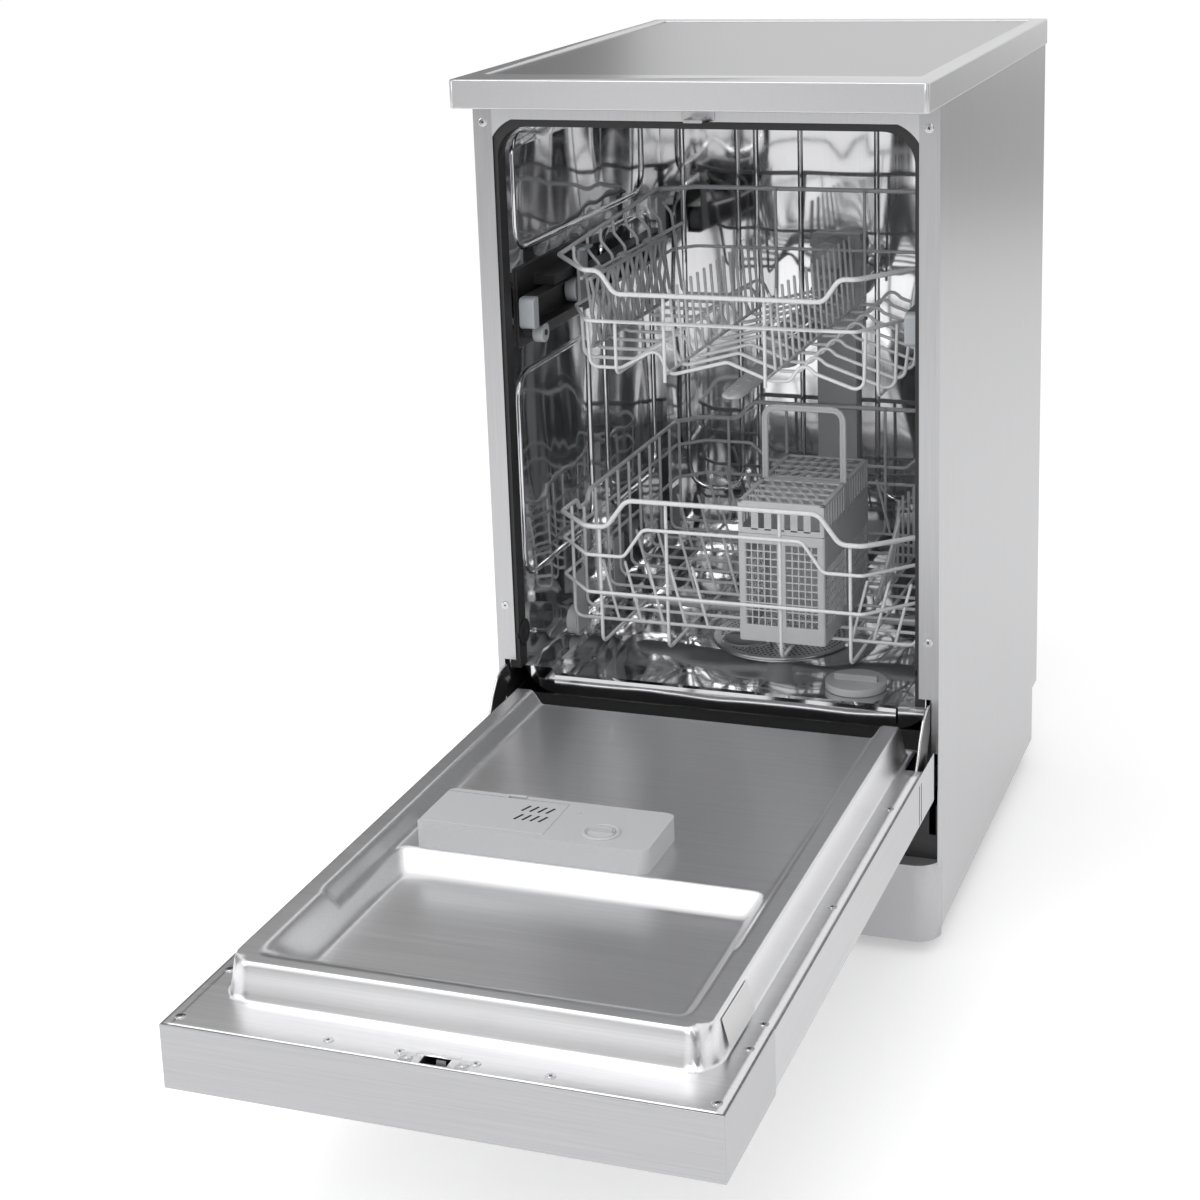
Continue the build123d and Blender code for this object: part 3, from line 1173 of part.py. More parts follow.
for place, name in zip(rack_roller_places, ("front_rack_rollers", "rear_rack_rollers")):
    spot = deep(upper_front + place)
    with BuildPart() as rollers:
        for side in (-1, 1):
            inner_end = (side * rack_roller_xs[0], spot, rail_level)
            outer_end = (side * rack_roller_xs[1], spot, rail_level)
            bar(inner_end, outer_end, rack_roller_radius)
            bar(inner_end, outer_end, axle_radius + running_gap, Mode.SUBTRACT)
    rollers.part.label = name
    export_step(rollers.part, f"parts/{name}.step")

# Cup shelf: a pierced plate that hangs by knuckles from a wire inside the left side of the upper rack
with BuildPart() as cup_shelf:
    block((shelf_hinge_x + 8, shelf_hinge_x + 12), (deep(upper_front + cup_shelf_run[0]),
                                                     deep(upper_front + cup_shelf_run[1])),
          (shelf_hinge_level - cup_shelf_drop, shelf_hinge_level + 2))
    for i in range(8):
        for j in range(3):
            y = deep(upper_front + cup_shelf_run[0] + 20 + 28.5 * i)
            z = shelf_hinge_level - cup_shelf_drop + 14 + 20 * j
            block((shelf_hinge_x, shelf_hinge_x + 20), (y - 10, y + 10), (z - 7, z + 7), Mode.SUBTRACT)
    for i in (2, 4, 6):
        knuckle = deep(upper_places[i] + upper_pitch / 2)
        block((shelf_hinge_x, shelf_hinge_x + 8), (knuckle - 6, knuckle + 6),
              (shelf_hinge_level - 2, shelf_hinge_level + 2))
        bar((shelf_hinge_x, knuckle - 6, shelf_hinge_level), (shelf_hinge_x, knuckle + 6, shelf_hinge_level), 4.5)
        bar((shelf_hinge_x, knuckle - 7, shelf_hinge_level), (shelf_hinge_x, knuckle + 7, shelf_hinge_level),
            rack_wire / 2 + running_gap, Mode.SUBTRACT)
cup_shelf.part.label = "cup_shelf"
export_step(cup_shelf.part, "parts/cup_shelf.step")
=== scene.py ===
# %% [markdown]
# # A slimline dishwasher, dressed for its photograph
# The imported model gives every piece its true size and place, and every moving piece its body.
# This lesson adds what a camera sees: brushed and polished steel, coated wire, moulded plastic, and
# the small shapes that a plain solid lacks. All sizes below are in millimetres, as on the drawing,
# and are turned into metres only where Blender needs them.

# %% Load the frame
import math

import bmesh
import bpy
from mathutils import Matrix, Vector


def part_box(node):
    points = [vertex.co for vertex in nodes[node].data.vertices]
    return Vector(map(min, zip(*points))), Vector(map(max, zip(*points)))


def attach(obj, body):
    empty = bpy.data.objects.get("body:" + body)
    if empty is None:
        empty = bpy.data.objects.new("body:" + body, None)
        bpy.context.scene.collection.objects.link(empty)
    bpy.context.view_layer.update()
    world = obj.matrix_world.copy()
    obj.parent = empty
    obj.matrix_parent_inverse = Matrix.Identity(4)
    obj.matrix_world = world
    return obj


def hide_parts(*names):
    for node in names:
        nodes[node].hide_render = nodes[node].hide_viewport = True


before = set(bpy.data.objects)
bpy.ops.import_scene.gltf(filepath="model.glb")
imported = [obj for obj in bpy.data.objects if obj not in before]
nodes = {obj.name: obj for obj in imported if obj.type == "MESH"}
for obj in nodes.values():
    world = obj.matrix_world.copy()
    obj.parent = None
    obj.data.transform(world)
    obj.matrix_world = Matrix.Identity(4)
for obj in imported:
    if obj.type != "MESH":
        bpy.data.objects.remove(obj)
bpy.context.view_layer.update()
MM = 0.001
FRONT = 66.5
HINGE_Y = 28.5


def deep(distance):
    """Y of a place that far behind the front plane of the cabinet."""
    return FRONT + distance


def along(distance):
    """Y of a place that far along the open door from its hinge."""
    return HINGE_Y - distance


def placed(name, data):
    """A new object in the scene that holds the data."""
    thing = bpy.data.objects.new(name, data)
    bpy.context.scene.collection.objects.link(thing)
    return thing


def plain_mesh(name, points, faces, finish, unit=1.0):
    """A mesh from points and faces, with one finish."""
    mesh = bpy.data.meshes.new(name)
    mesh.from_pydata([Vector(p) * unit for p in points], [], faces)
    mesh.materials.append(finish)
    return mesh


def taken(shape, name, finish):
    """The mesh that a bmesh has become, with one finish."""
    mesh = bpy.data.meshes.new(name)
    shape.to_mesh(mesh)
    shape.free()
    mesh.materials.append(finish)
    return mesh


def evaluated(seed):
    """The plain mesh of an object after its modifiers. The object is removed."""
    graph = bpy.context.evaluated_depsgraph_get()
    result = bpy.data.meshes.new_from_object(seed.evaluated_get(graph), depsgraph=graph)
    bpy.data.objects.remove(seed)
    return result


# %% [markdown]
# ## The camera
# The place, the turn and the focal length were solved from edges of known length in the photograph.
# The picture is not centred on the lens axis, so the frame is shifted down, as with a shift lens.

# %% Camera
lens = bpy.data.cameras.new("photo_camera")
lens.sensor_width = 36
lens.lens = 70.64
lens.shift_y = -0.14
camera = placed("photo_camera", lens)
right = Vector((0.93850, 0.34362, -0.03384))
down = Vector((0.05738, -0.25185, -0.96606))
forward = Vector((-0.34048, 0.90471, -0.25607))
turn = Matrix((right, -down, -forward)).transposed().to_4x4()
camera.matrix_world = Matrix.Translation((0.6647, -1.9830, 1.0823)) @ turn
bpy.context.scene.camera = camera
print("camera looks along", [round(v, 3) for v in forward])

# %% [markdown]
# ## The studio
# A white room gives a white background and soft even light. Bare metal only looks like metal when it
# has something dark to reflect, so black flags stand round the set, as a photographer would place
# them. They show in reflections only.

# %% World and lamps
world = bpy.data.worlds.new("white_room")
bpy.context.scene.world = world
world.use_nodes = True
room = world.node_tree
room.nodes.clear()
add, join = room.nodes.new, room.links.new
ray = add("ShaderNodeLightPath")
seen = add("ShaderNodeMath")
seen.operation = "MAXIMUM"
clear_seen = add("ShaderNodeMath")
clear_seen.operation = "MAXIMUM"
join(ray.outputs["Is Camera Ray"], seen.inputs[0])
join(ray.outputs["Is Glossy Ray"], seen.inputs[1])
join(seen.outputs[0], clear_seen.inputs[0])
join(ray.outputs["Is Transmission Ray"], clear_seen.inputs[1])
light = add("ShaderNodeBackground")
light.inputs["Strength"].default_value = 0.72
white = add("ShaderNodeBackground")
white.inputs["Strength"].default_value = 1.0
for sheet in (light, white):
    sheet.inputs["Color"].default_value = (1, 1, 1, 1)
pick = add("ShaderNodeMixShader")
surface = add("ShaderNodeOutputWorld")
join(clear_seen.outputs[0], pick.inputs[0])
join(light.outputs[0], pick.inputs[1])
join(white.outputs[0], pick.inputs[2])
join(pick.outputs[0], surface.inputs["Surface"])


def softbox(name, place, target, size, power):
    """A square area lamp that points at a target, in metres."""
    lamp = bpy.data.lights.new(name, "AREA")
    lamp.size = size
    lamp.energy = power
    box = placed(name, lamp)
    box.location = place
    box.rotation_euler = (Vector(target) - Vector(place)).to_track_quat("-Z", "Y").to_euler()


softbox("overhead", (-0.6, -1.0, 2.8), (0, 0, 0.4), 1.6, 20)
softbox("left_front", (-2.2, -2.0, 1.6), (0, -0.2, 0.4), 1.4, 12)
softbox("into_the_tub", (0.5, -2.4, 1.9), (0, 0.3, 0.5), 0.8, 10)
bpy.context.scene.view_settings.view_transform = "Standard"


# %% Floor and flags
def flat_sheet(name, corners, finish):
    """A four-cornered sheet from its corners, in metres."""
    return placed(name, plain_mesh(name, corners, [(0, 1, 2, 3)], finish))


def plain(name, colour, glow=0.0):
    """A dull paint, which may also give a little light of its own."""
    paint = bpy.data.materials.new(name)
    paint.use_nodes = True
    shader = paint.node_tree.nodes["Principled BSDF"]
    shader.inputs["Base Color"].default_value = (*colour, 1)
    shader.inputs["Roughness"].default_value = 0.9
    shader.inputs["Specular IOR Level"].default_value = 0.0
    if glow:
        shader.inputs["Emission Color"].default_value = (1, 1, 1, 1)
        shader.inputs["Emission Strength"].default_value = glow
    return paint


reach = 14.0
floor = flat_sheet("studio_floor", [(-reach, -reach, 0), (reach, -reach, 0), (reach, reach, 0),
                                    (-reach, reach, 0)], plain("white_paper", (0.84, 0.84, 0.84), 0.40))
black_card = plain("black_card", (0.015, 0.015, 0.015))
cards = {
    "flag_front_left": [(-2.6, -2.6, -0.4), (-1.5, -3.2, -0.4), (-1.5, -3.2, 2.6), (-2.6, -2.6, 2.6)],
    "flag_front": [(-0.75, -3.4, -0.4), (-0.2, -3.4, -0.4), (-0.2, -3.4, 2.6), (-0.75, -3.4, 2.6)],
    "flag_front_right": [(1.3, -3.2, -0.4), (2.4, -2.4, -0.4), (2.4, -2.4, 2.6), (1.3, -3.2, 2.6)],
    "flag_right": [(3.2, -0.6, -0.4), (3.4, 0.8, -0.4), (3.4, 0.8, 1.9), (3.2, -0.6, 1.9)],
    "flag_back_right": [(1.0, 4.2, -0.4), (2.3, 3.6, -0.4), (2.3, 3.6, 0.5), (1.0, 4.2, 0.5)],
    "flag_back_left": [(-3.2, 2.4, 0.4), (-1.5, 4.1, 0.4), (-1.5, 4.1, 3.0), (-3.2, 2.4, 3.0)],
    "flag_left": [(-3.6, 0.6, -0.4), (-3.5, -0.7, -0.4), (-3.5, -0.7, 2.0), (-3.6, 0.6, 2.0)],
}
for name, corners in cards.items():
    card = flat_sheet(name, corners, black_card)
    card.visible_camera = False
    card.visible_diffuse = False
    card.visible_shadow = False
    card.visible_transmission = False
print("flags:", len(cards))

# %% [markdown]
# ## Finishes
# One recipe serves most surfaces. Noise on Object coordinates, stretched along the grain, varies the
# colour, the roughness and the height a little. Brushed steel has a grain that is hundreds of times
# longer than it is wide; moulded plastic has a fine even grain; polished steel has almost none, but
# waves gently, because thin sheet is never flat.


# %% One recipe for grained surfaces
def grained(name, colour, roughness, metal, scale, shade, spread, relief, stretch=(1, 1, 1), coat=0.0,
            wave=0.0, wave_scale=8.0):
    """A finish whose colour, roughness and height vary with a stretched noise."""
    finish = bpy.data.materials.new(name)
    finish.use_nodes = True
    tree = finish.node_tree
    add, join = tree.nodes.new, tree.links.new
    shader = tree.nodes["Principled BSDF"]
    shader.inputs["Metallic"].default_value = metal
    shader.inputs["Coat Weight"].default_value = coat
    shader.inputs["Coat Roughness"].default_value = 0.15
    spot = add("ShaderNodeTexCoord")
    mapping = add("ShaderNodeMapping")
    mapping.inputs["Scale"].default_value = stretch
    noise = add("ShaderNodeTexNoise")
    noise.inputs["Scale"].default_value = scale
    noise.inputs["Detail"].default_value = 3.0
    join(spot.outputs["Object"], mapping.inputs["Vector"])
    join(mapping.outputs[0], noise.inputs["Vector"])
    tint = add("ShaderNodeValToRGB")
    tint.color_ramp.elements[0].position = 0.3
    tint.color_ramp.elements[1].position = 0.7
    tint.color_ramp.elements[0].color = (*[c * (1 - shade) for c in colour], 1)
    tint.color_ramp.elements[1].color = (*[min(1.0, c * (1 + shade)) for c in colour], 1)
    join(noise.outputs["Fac"], tint.inputs[0])
    join(tint.outputs[0], shader.inputs["Base Color"])
    rough = add("ShaderNodeMapRange")
    rough.inputs["To Min"].default_value = max(0.02, roughness - spread)
    rough.inputs["To Max"].default_value = roughness + spread
    join(noise.outputs["Fac"], rough.inputs["Value"])
    join(rough.outputs[0], shader.inputs["Roughness"])
    bump = add("ShaderNodeBump")
    bump.inputs["Distance"].default_value = relief
    join(noise.outputs["Fac"], bump.inputs["Height"])
    join(bump.outputs[0], shader.inputs["Normal"])
    if wave:
        slow = add("ShaderNodeTexNoise")
        slow.inputs["Scale"].default_value = wave_scale
        slow.inputs["Detail"].default_value = 1.0
        tall = add("ShaderNodeMapping")
        tall.inputs["Scale"].default_value = (1, 1, 0.4)
        join(spot.outputs["Object"], tall.inputs["Vector"])
        join(tall.outputs[0], slow.inputs["Vector"])
        swell = add("ShaderNodeBump")
        swell.inputs["Distance"].default_value = wave
        join(slow.outputs["Fac"], swell.inputs["Height"])
        join(swell.outputs[0], bump.inputs["Normal"])
    return finish


# %% [markdown]
# ### Steel
# The sides and the door are brushed upright, the fascia across. The tub is bright annealed sheet,
# nearly a mirror, pressed with shallow waves that break its reflections into streaks. The liner of the
# door is the same sheet with a satin finish.

# %% Steel finishes
UPRIGHT = (1.0, 1.0, 0.012)
ACROSS = (0.012, 1.0, 1.0)
DEEPWARD = (1.0, 0.012, 1.0)
brushed_side = grained("brushed_side", (0.50, 0.50, 0.51), 0.34, 1.0, 900, 0.05, 0.05, 0.000004, UPRIGHT)
brushed_door = grained("brushed_door", (0.52, 0.52, 0.53), 0.30, 1.0, 900, 0.05, 0.05, 0.000004, DEEPWARD)
brushed_fascia = grained("brushed_fascia", (0.44, 0.44, 0.45), 0.30, 1.0, 900, 0.05, 0.05, 0.000004, ACROSS)
front_steel = grained("front_steel", (0.62, 0.62, 0.63), 0.38, 1.0, 900, 0.03, 0.04, 0.000003, UPRIGHT)
mirror_tub = grained("mirror_tub", (0.70, 0.70, 0.71), 0.07, 1.0, 500, 0.03, 0.03, 0.000002, UPRIGHT,
                     wave=0.010, wave_scale=9.0)
satin_liner = grained("satin_liner", (0.76, 0.76, 0.77), 0.33, 1.0, 700, 0.04, 0.05, 0.000003, ACROSS,
                      wave=0.0012, wave_scale=5.0)
zinc_steel = grained("zinc_steel", (0.55, 0.55, 0.56), 0.32, 1.0, 120, 0.12, 0.08, 0.00001)
screw_steel = grained("screw_steel", (0.62, 0.62, 0.63), 0.22, 1.0, 400, 0.05, 0.05, 0.00001)
galvanised = grained("galvanised", (0.56, 0.57, 0.58), 0.42, 0.9, 60, 0.15, 0.10, 0.00001)
print("steel finishes:", len(bpy.data.materials))

# %% [markdown]
# ### Plastic, rubber and coating
# The wires are dipped in a pale grey coating, which is glossy and a little uneven. The wheels, the
# basket and the dispenser are the same grey, moulded with a fine spark texture.

# %% Plastic finishes
wire_coating = grained("wire_coating", (0.66, 0.67, 0.68), 0.30, 0.0, 260, 0.05, 0.06, 0.00004, coat=0.3)
pale_plastic = grained("pale_plastic", (0.50, 0.51, 0.52), 0.42, 0.0, 900, 0.03, 0.05, 0.00003)
shelf_plastic = grained("shelf_plastic", (0.50, 0.51, 0.52), 0.34, 0.0, 700, 0.05, 0.05, 0.00003)
blue_grey = grained("blue_grey", (0.40, 0.42, 0.44), 0.40, 0.0, 800, 0.03, 0.05, 0.00003)
duct_grey = grained("duct_grey", (0.50, 0.51, 0.53), 0.38, 0.0, 700, 0.03, 0.05, 0.00003)
silver_plastic = grained("silver_plastic", (0.50, 0.50, 0.51), 0.33, 0.6, 1200, 0.05, 0.05, 0.00001)
worktop_silver = grained("worktop_silver", (0.58, 0.58, 0.59), 0.30, 0.7, 1200, 0.03, 0.04, 0.00001)
worktop_sheet = grained("worktop_sheet", (0.42, 0.42, 0.43), 0.34, 0.9, 900, 0.03, 0.04, 0.000003, ACROSS)
black_rubber = grained("black_rubber", (0.018, 0.018, 0.019), 0.55, 0.0, 300, 0.15, 0.08, 0.00005)
black_plastic = grained("black_plastic", (0.022, 0.022, 0.023), 0.38, 0.0, 500, 0.12, 0.08, 0.00004)
# Near-black painted shade, laid as flat discs, bars and crosses where the real part has a hole, slot or
# recess.
dark_gap = grained("dark_gap", (0.008, 0.008, 0.008), 0.8, 0.0, 300, 0.1, 0.05, 0.00002)
smoked_window = grained("smoked_window", (0.012, 0.012, 0.014), 0.08, 0.0, 200, 0.1, 0.03, 0.000005, coat=1.0)
board_green = grained("board_green", (0.02, 0.14, 0.07), 0.45, 0.0, 400, 0.2, 0.08, 0.00003)
filter_grey = grained("filter_grey", (0.30, 0.31, 0.32), 0.45, 0.0, 600, 0.06, 0.06, 0.00003)
tank_white = grained("tank_white", (0.66, 0.66, 0.63), 0.40, 0.0, 200, 0.05, 0.06, 0.00004)
pump_grey = grained("pump_grey", (0.10, 0.10, 0.105), 0.45, 0.0, 500, 0.1, 0.08, 0.00004)
sticker_white = grained("sticker_white", (0.70, 0.70, 0.70), 0.35, 0.0, 900, 0.02, 0.03, 0.00001)
print("finishes in all:", len(bpy.data.materials))

# %% [markdown]
# ## Dress the solids that keep their shape
# Sheet metal is folded and plastic is moulded, so no edge is truly sharp. The solids come in as loose
# triangles. Weld joins them, a planar Decimate clears the flat faces, and Bevel rounds the edges by
# the width given here, with its normals hardened so that the flats stay flat.

# %% Finish and edge radius of every solid
dress = (
    (worktop_silver, {"worktop_rim": 1.4}),
    (worktop_sheet, {"worktop_panel": 0.8}),
    (brushed_side, {"side_panel_left": 0.0, "side_panel_right": 0.0}),
    (front_steel, {"front_rail": 0.0}),
    (zinc_steel, {"latch_strike": 0.4, "latch_hook": 0.3}),
    (galvanised, {"rear_panel": 0.5}),
    (mirror_tub, {"tub": 0.0}),
    (black_rubber, {"tub_gasket": 0.8, "side_bumpers": 1.5}),
    (black_plastic, {"base_tray": 0.8, "feet": 1.0, "hinge_brackets": 0.6, "hinge_arms": 0.5,
        "latch_body": 0.4, "roller_plates": 0.5, "upper_rails": 0.4}),
    (silver_plastic, {"plinth": 0.5, "power_button": 0.6, "programme_button": 0.6, "start_button": 0.6}),
    (brushed_door, {"door_skin": 0.3}),
    (brushed_fascia, {"control_panel": 0.6}),
    (smoked_window, {"display_window": 0.2}),
    (board_green, {"control_board": 0.0}),
    (pale_plastic, {"dispenser_body": 1.6, "dispenser_lid": 1.2, "dispenser_catch": 0.8,
        "rinse_cap": 0.9, "salt_cap": 1.2, "front_rail_rollers": 0.8, "rear_rail_rollers": 0.8,
        "lower_spray_arm": 2.0, "feed_pipe": 0.8, "upper_spray_arm": 2.0, "wheel_carriers": 0.6,
        "wheel_pair_1": 1.0, "wheel_pair_2": 1.0, "wheel_pair_3": 1.0, "front_rack_rollers": 1.0,
        "rear_rack_rollers": 1.0}),
    (pump_grey, {"sump": 0.5, "wash_pump": 1.5, "drain_pump": 1.0, "inlet_valve": 0.8}),
    (satin_liner, {"filter_plate": 0.5}),
    (filter_grey, {"filter_cup": 0.4}),
    (tank_white, {"softener_tank": 1.5}),
    (duct_grey, {"rear_duct": 1.2}),
    (blue_grey, {"rail_caps": 1.2}),
)
for finish, radii in dress:
    for name, radius in radii.items():
        solid = nodes[name]
        solid.data.materials.clear()
        solid.data.materials.append(finish)
        if radius:
            weld = solid.modifiers.new("weld", "WELD")
            weld.merge_threshold = 0.000002
            flat = solid.modifiers.new("flat", "DECIMATE")
            flat.decimate_type = "DISSOLVE"
            flat.angle_limit = math.radians(1.0)
            edge = solid.modifiers.new("edge", "BEVEL")
            edge.width = radius * MM
            edge.segments = 2
            edge.limit_method = "ANGLE"
            edge.angle_limit = math.radians(38)
            edge.harden_normals = True
print("solids dressed:", sum(len(radii) for finish, radii in dress))

# %% [markdown]
# ## Wires that are bent, not mitred
# A rack is a few hundred wires. Each is drawn as a plain chain of corners, and one Geometry Nodes tree
# makes the real thing: it rounds the corners as a bending machine does, and runs a circle along the
# line. An attribute on the points thins the tips, so that a tine ends in a soft point.


# %% The wire tree
def start_tree(title, sockets):
    """An empty tree with named inputs, and its input and output nodes."""
    tree = bpy.data.node_groups.new(title, "GeometryNodeTree")
    tree.interface.new_socket("Geometry", in_out="INPUT", socket_type="NodeSocketGeometry")
    for label, kind in sockets:
        tree.interface.new_socket(label, in_out="INPUT", socket_type="NodeSocket" + kind)
    tree.interface.new_socket("Geometry", in_out="OUTPUT", socket_type="NodeSocketGeometry")
    return tree, tree.nodes.new("NodeGroupInput"), tree.nodes.new("NodeGroupOutput")


def end_tree(tree, given, end, socket):
    """Ends a tree in Realize Instances and Set Material."""
    real = tree.nodes.new("GeometryNodeRealizeInstances")
    paint = tree.nodes.new("GeometryNodeSetMaterial")
    tree.links.new(socket, real.inputs[0])
    tree.links.new(real.outputs[0], paint.inputs["Geometry"])
    tree.links.new(given.outputs["Material"], paint.inputs["Material"])
    tree.links.new(paint.outputs[0], end.inputs[0])


wire_tree, given, end = start_tree("bent_wire", [("Diameter", "Float"), ("Bend radius", "Float"),
                                                 ("Sides", "Int"), ("Material", "Material")])
add, join = wire_tree.nodes.new, wire_tree.links.new
line = add("GeometryNodeMeshToCurve")
fillet = add("GeometryNodeFilletCurve")
fillet.mode = "POLY"
fillet.inputs["Count"].default_value = 4
fillet.inputs["Limit Radius"].default_value = True
section = add("GeometryNodeCurvePrimitiveCircle")
half = add("ShaderNodeMath")
half.operation = "MULTIPLY"
half.inputs[1].default_value = 0.5
tip = add("GeometryNodeInputNamedAttribute")
tip.inputs["Name"].default_value = "tip"
sweep = add("GeometryNodeCurveToMesh")
sweep.inputs["Fill Caps"].default_value = True
smooth = add("GeometryNodeSetShadeSmooth")
join(given.outputs["Geometry"], line.inputs["Mesh"])
join(line.outputs[0], fillet.inputs["Curve"])
join(given.outputs["Bend radius"], fillet.inputs["Radius"])
join(given.outputs["Diameter"], half.inputs[0])
join(half.outputs[0], section.inputs["Radius"])
join(given.outputs["Sides"], section.inputs["Resolution"])
join(fillet.outputs[0], sweep.inputs["Curve"])
join(section.outputs[0], sweep.inputs["Profile Curve"])
join(tip.outputs["Attribute"], sweep.inputs["Scale"])
join(sweep.outputs[0], smooth.inputs["Geometry"])
end_tree(wire_tree, given, end, smooth.outputs[0])
print("wire tree:", len(wire_tree.nodes), "nodes")


# %% From chains of corners to a mesh
def grown(name, tree, mesh, **values):
    """The plain mesh that a tree makes from a starting mesh, with its named inputs."""
    seed = placed(name, mesh)
    modifier = seed.modifiers.new("grow", "NODES")
    modifier.node_group = tree
    for item in tree.interface.items_tree:
        key = item.name.replace(" ", "_").lower()
        if item.item_type == "SOCKET" and item.in_out == "INPUT" and key in values:
            modifier[item.identifier] = values[key]
    result = evaluated(seed)
    result.name = name
    return result


def worked(mesh, **steps):
    """The plain mesh that modifiers make of a mesh, such as BEVEL={"width": 0.001}."""
    seed = placed(mesh.name, mesh)
    for kind, settings in steps.items():
        modifier = seed.modifiers.new(kind.lower(), kind)
        for key, value in settings.items():
            setattr(modifier, key, value)
    return evaluated(seed)


def wires(name, chains, diameter, bend, finish, sides=10):
    """One mesh of bent wires. A chain is (points in mm, closed, pointed), or just its points."""
    points, edges, tips = [], [], []
    for chain in chains:
        chain, closed, pointed = chain if isinstance(chain, tuple) else (chain, False, False)
        first = len(points)
        chain = [Vector(p) * MM for p in chain]
        widths = [1.0] * len(chain)
        if pointed:
            way = (chain[-1] - chain[-2]).normalized()
            top = chain[-1]
            chain = chain[:-1] + [top - way * 0.4 * diameter * MM, top - way * 0.12 * diameter * MM, top]
            widths = [1.0] * (len(chain) - 2) + [0.8, 0.35]
        points += chain
        tips += widths
        edges += [(first + i, first + i + 1) for i in range(len(chain) - 1)]
        if closed:
            edges.append((len(points) - 1, first))
    mesh = bpy.data.meshes.new(name)
    mesh.from_pydata(points, edges, [])
    mesh.attributes.new("tip", "FLOAT", "POINT").data.foreach_set("value", tips)
    return grown(name, wire_tree, mesh, diameter=diameter * MM, bend_radius=bend * MM, sides=sides,
                 material=finish)


def piece(name, meshes, body, replaced=()):
    """Joins meshes into one object on a body, in place of the solids it stands for."""
    joined = bmesh.new()
    finishes = []
    for mesh in meshes:
        start = len(joined.faces)
        joined.from_mesh(mesh)
        joined.faces.ensure_lookup_table()
        for face in joined.faces[start:]:
            finish = mesh.materials[face.material_index]
            if finish not in finishes:
                finishes.append(finish)
            face.material_index = finishes.index(finish)
    whole = bpy.data.meshes.new(name)
    joined.to_mesh(whole)
    joined.free()
    for finish in finishes:
        whole.materials.append(finish)
    thing = placed(name, whole)
    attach(thing, body)
    if replaced:
        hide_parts(*replaced)
    print(name, len(whole.polygons), "faces")
    return thing


def mirrored(right_half):
    """A closed loop from its right half."""
    return list(right_half) + [(-x, y, z) for x, y, z in reversed(right_half)]


# %% [markdown]
# ### The lower rack
# Its sizes are those of the drawing: three loops round the outside, long wires that dip to the floor of
# the rack, cross wires turned up at the sides, rows of leaning tines, and a bank of tall ones.

# %% Lower rack
RIM, WIRE, TINE = 5.0, 3.6, 3.2
LOWER_HALF, LOWER_FRONT, LOWER_LENGTH, LOWER_FLOOR = 180.0, 41.0, 445.0, 270.0
near_end = deep(LOWER_FRONT + (RIM + WIRE) / 2)
far_end = deep(LOWER_FRONT + LOWER_LENGTH - (RIM + WIRE) / 2)


def lower_loop(diameter, levels, crest, foot, dip=None):
    """A loop round the lower rack, raised at the front and at the rear."""
    out = (WIRE + diameter) / 2
    x, y0, y1 = LOWER_HALF + out, near_end - out, far_end + out
    raised, corner, sides, rear = levels
    half_loop = [(crest, y0, raised), (foot, y0, corner), (141, y0, corner), (x, y0 + 48, sides)]
    if dip:
        start, stop = deep(LOWER_FRONT + dip[0]), deep(LOWER_FRONT + dip[1])
        half_loop += [(x, start, sides), (x, start + 5, dip[2]), (x, stop - 5, dip[2]), (x, stop, sides)]
    half_loop += [(x, y1 - 28, sides), (156, y1, sides), (foot, y1, sides), (crest, y1, rear)]
    return (mirrored(half_loop), True, False)


dip = (91.0, 126.0, 380.0)
rims = [lower_loop(RIM, (422, 393, 391, 412), 97.7, 119.0, dip)]
x, y0, y1 = LOWER_HALF + WIRE, near_end - WIRE, far_end + WIRE
band = [(141, y0, 324), (x, y0 + 48, 324), (x, y1 - 28, 324), (156, y1, 324)]
frame_wires = [lower_loop(WIRE, (393, 363, 363, 344), 81.0, 102.0), (mirrored(band), True, False)]
for x, top_front, top_rear in ((58, 422, 412), (128, 393, 391)):
    for side in (-1, 1):
        frame_wires.append([(side * x, near_end, top_front + 1), (side * x, near_end, LOWER_FLOOR),
                            (side * x, far_end, LOWER_FLOOR), (side * x, far_end, top_rear + 1)])
cross_places = [LOWER_FRONT + 64 + 35 * i for i in range(11)]
frame_wires.append([(110, deep(cross_places[0] - 6), LOWER_FLOOR),
                    (110, deep(cross_places[-1] + 6), LOWER_FLOOR)])
cross_level = LOWER_FLOOR + WIRE
for place in cross_places:
    top = (dip[2] if dip[0] < place - LOWER_FRONT < dip[1] else 391) + 1
    frame_wires.append([(-LOWER_HALF, deep(place), top), (-LOWER_HALF, deep(place), cross_level),
                        (LOWER_HALF, deep(place), cross_level), (LOWER_HALF, deep(place), top)])
foot_level = cross_level + WIRE / 2 - 1
spots = [(-132 + 24 * i, cross_places[row], -16) for row in (0, 3, 7, 10) for i in range(5)]
spots += [(x, cross_places[row], -16) for row in (7, 10) for x in (0, 24, 70)]
spots += [(x, cross_places[0], 16) for x in (114, 136, 158)]
tines = [([(x, deep(place), foot_level), (x + lean, deep(place), foot_level + 63)], False, True)
         for x, place, lean in spots]
for i in range(10):
    place = LOWER_FRONT + 172 + 26.5 * i
    if min(abs(place - cross) for cross in cross_places) < WIRE:
        place += WIRE
    lean = max(0.0, 26.0 - 6.0 * i)
    tines.append(([(110, deep(place), LOWER_FLOOR + 0.8),
                   (110 + lean, deep(place), LOWER_FLOOR + 97.8 - 2.8 * i)], False, True))
piece("lower_rack_wires", [wires("lower_rims", rims, RIM, 14, wire_coating),
                           wires("lower_wires", frame_wires, WIRE, 9, wire_coating),
                           wires("lower_tines", tines, TINE, 4, wire_coating, 8)],
      "lower_rack", ["lower_rack_frame"])

# %% [markdown]
# ### The upper rack
# Its cross wires wave, so that glasses lean in the hollows, and its sides slope a little inwards.

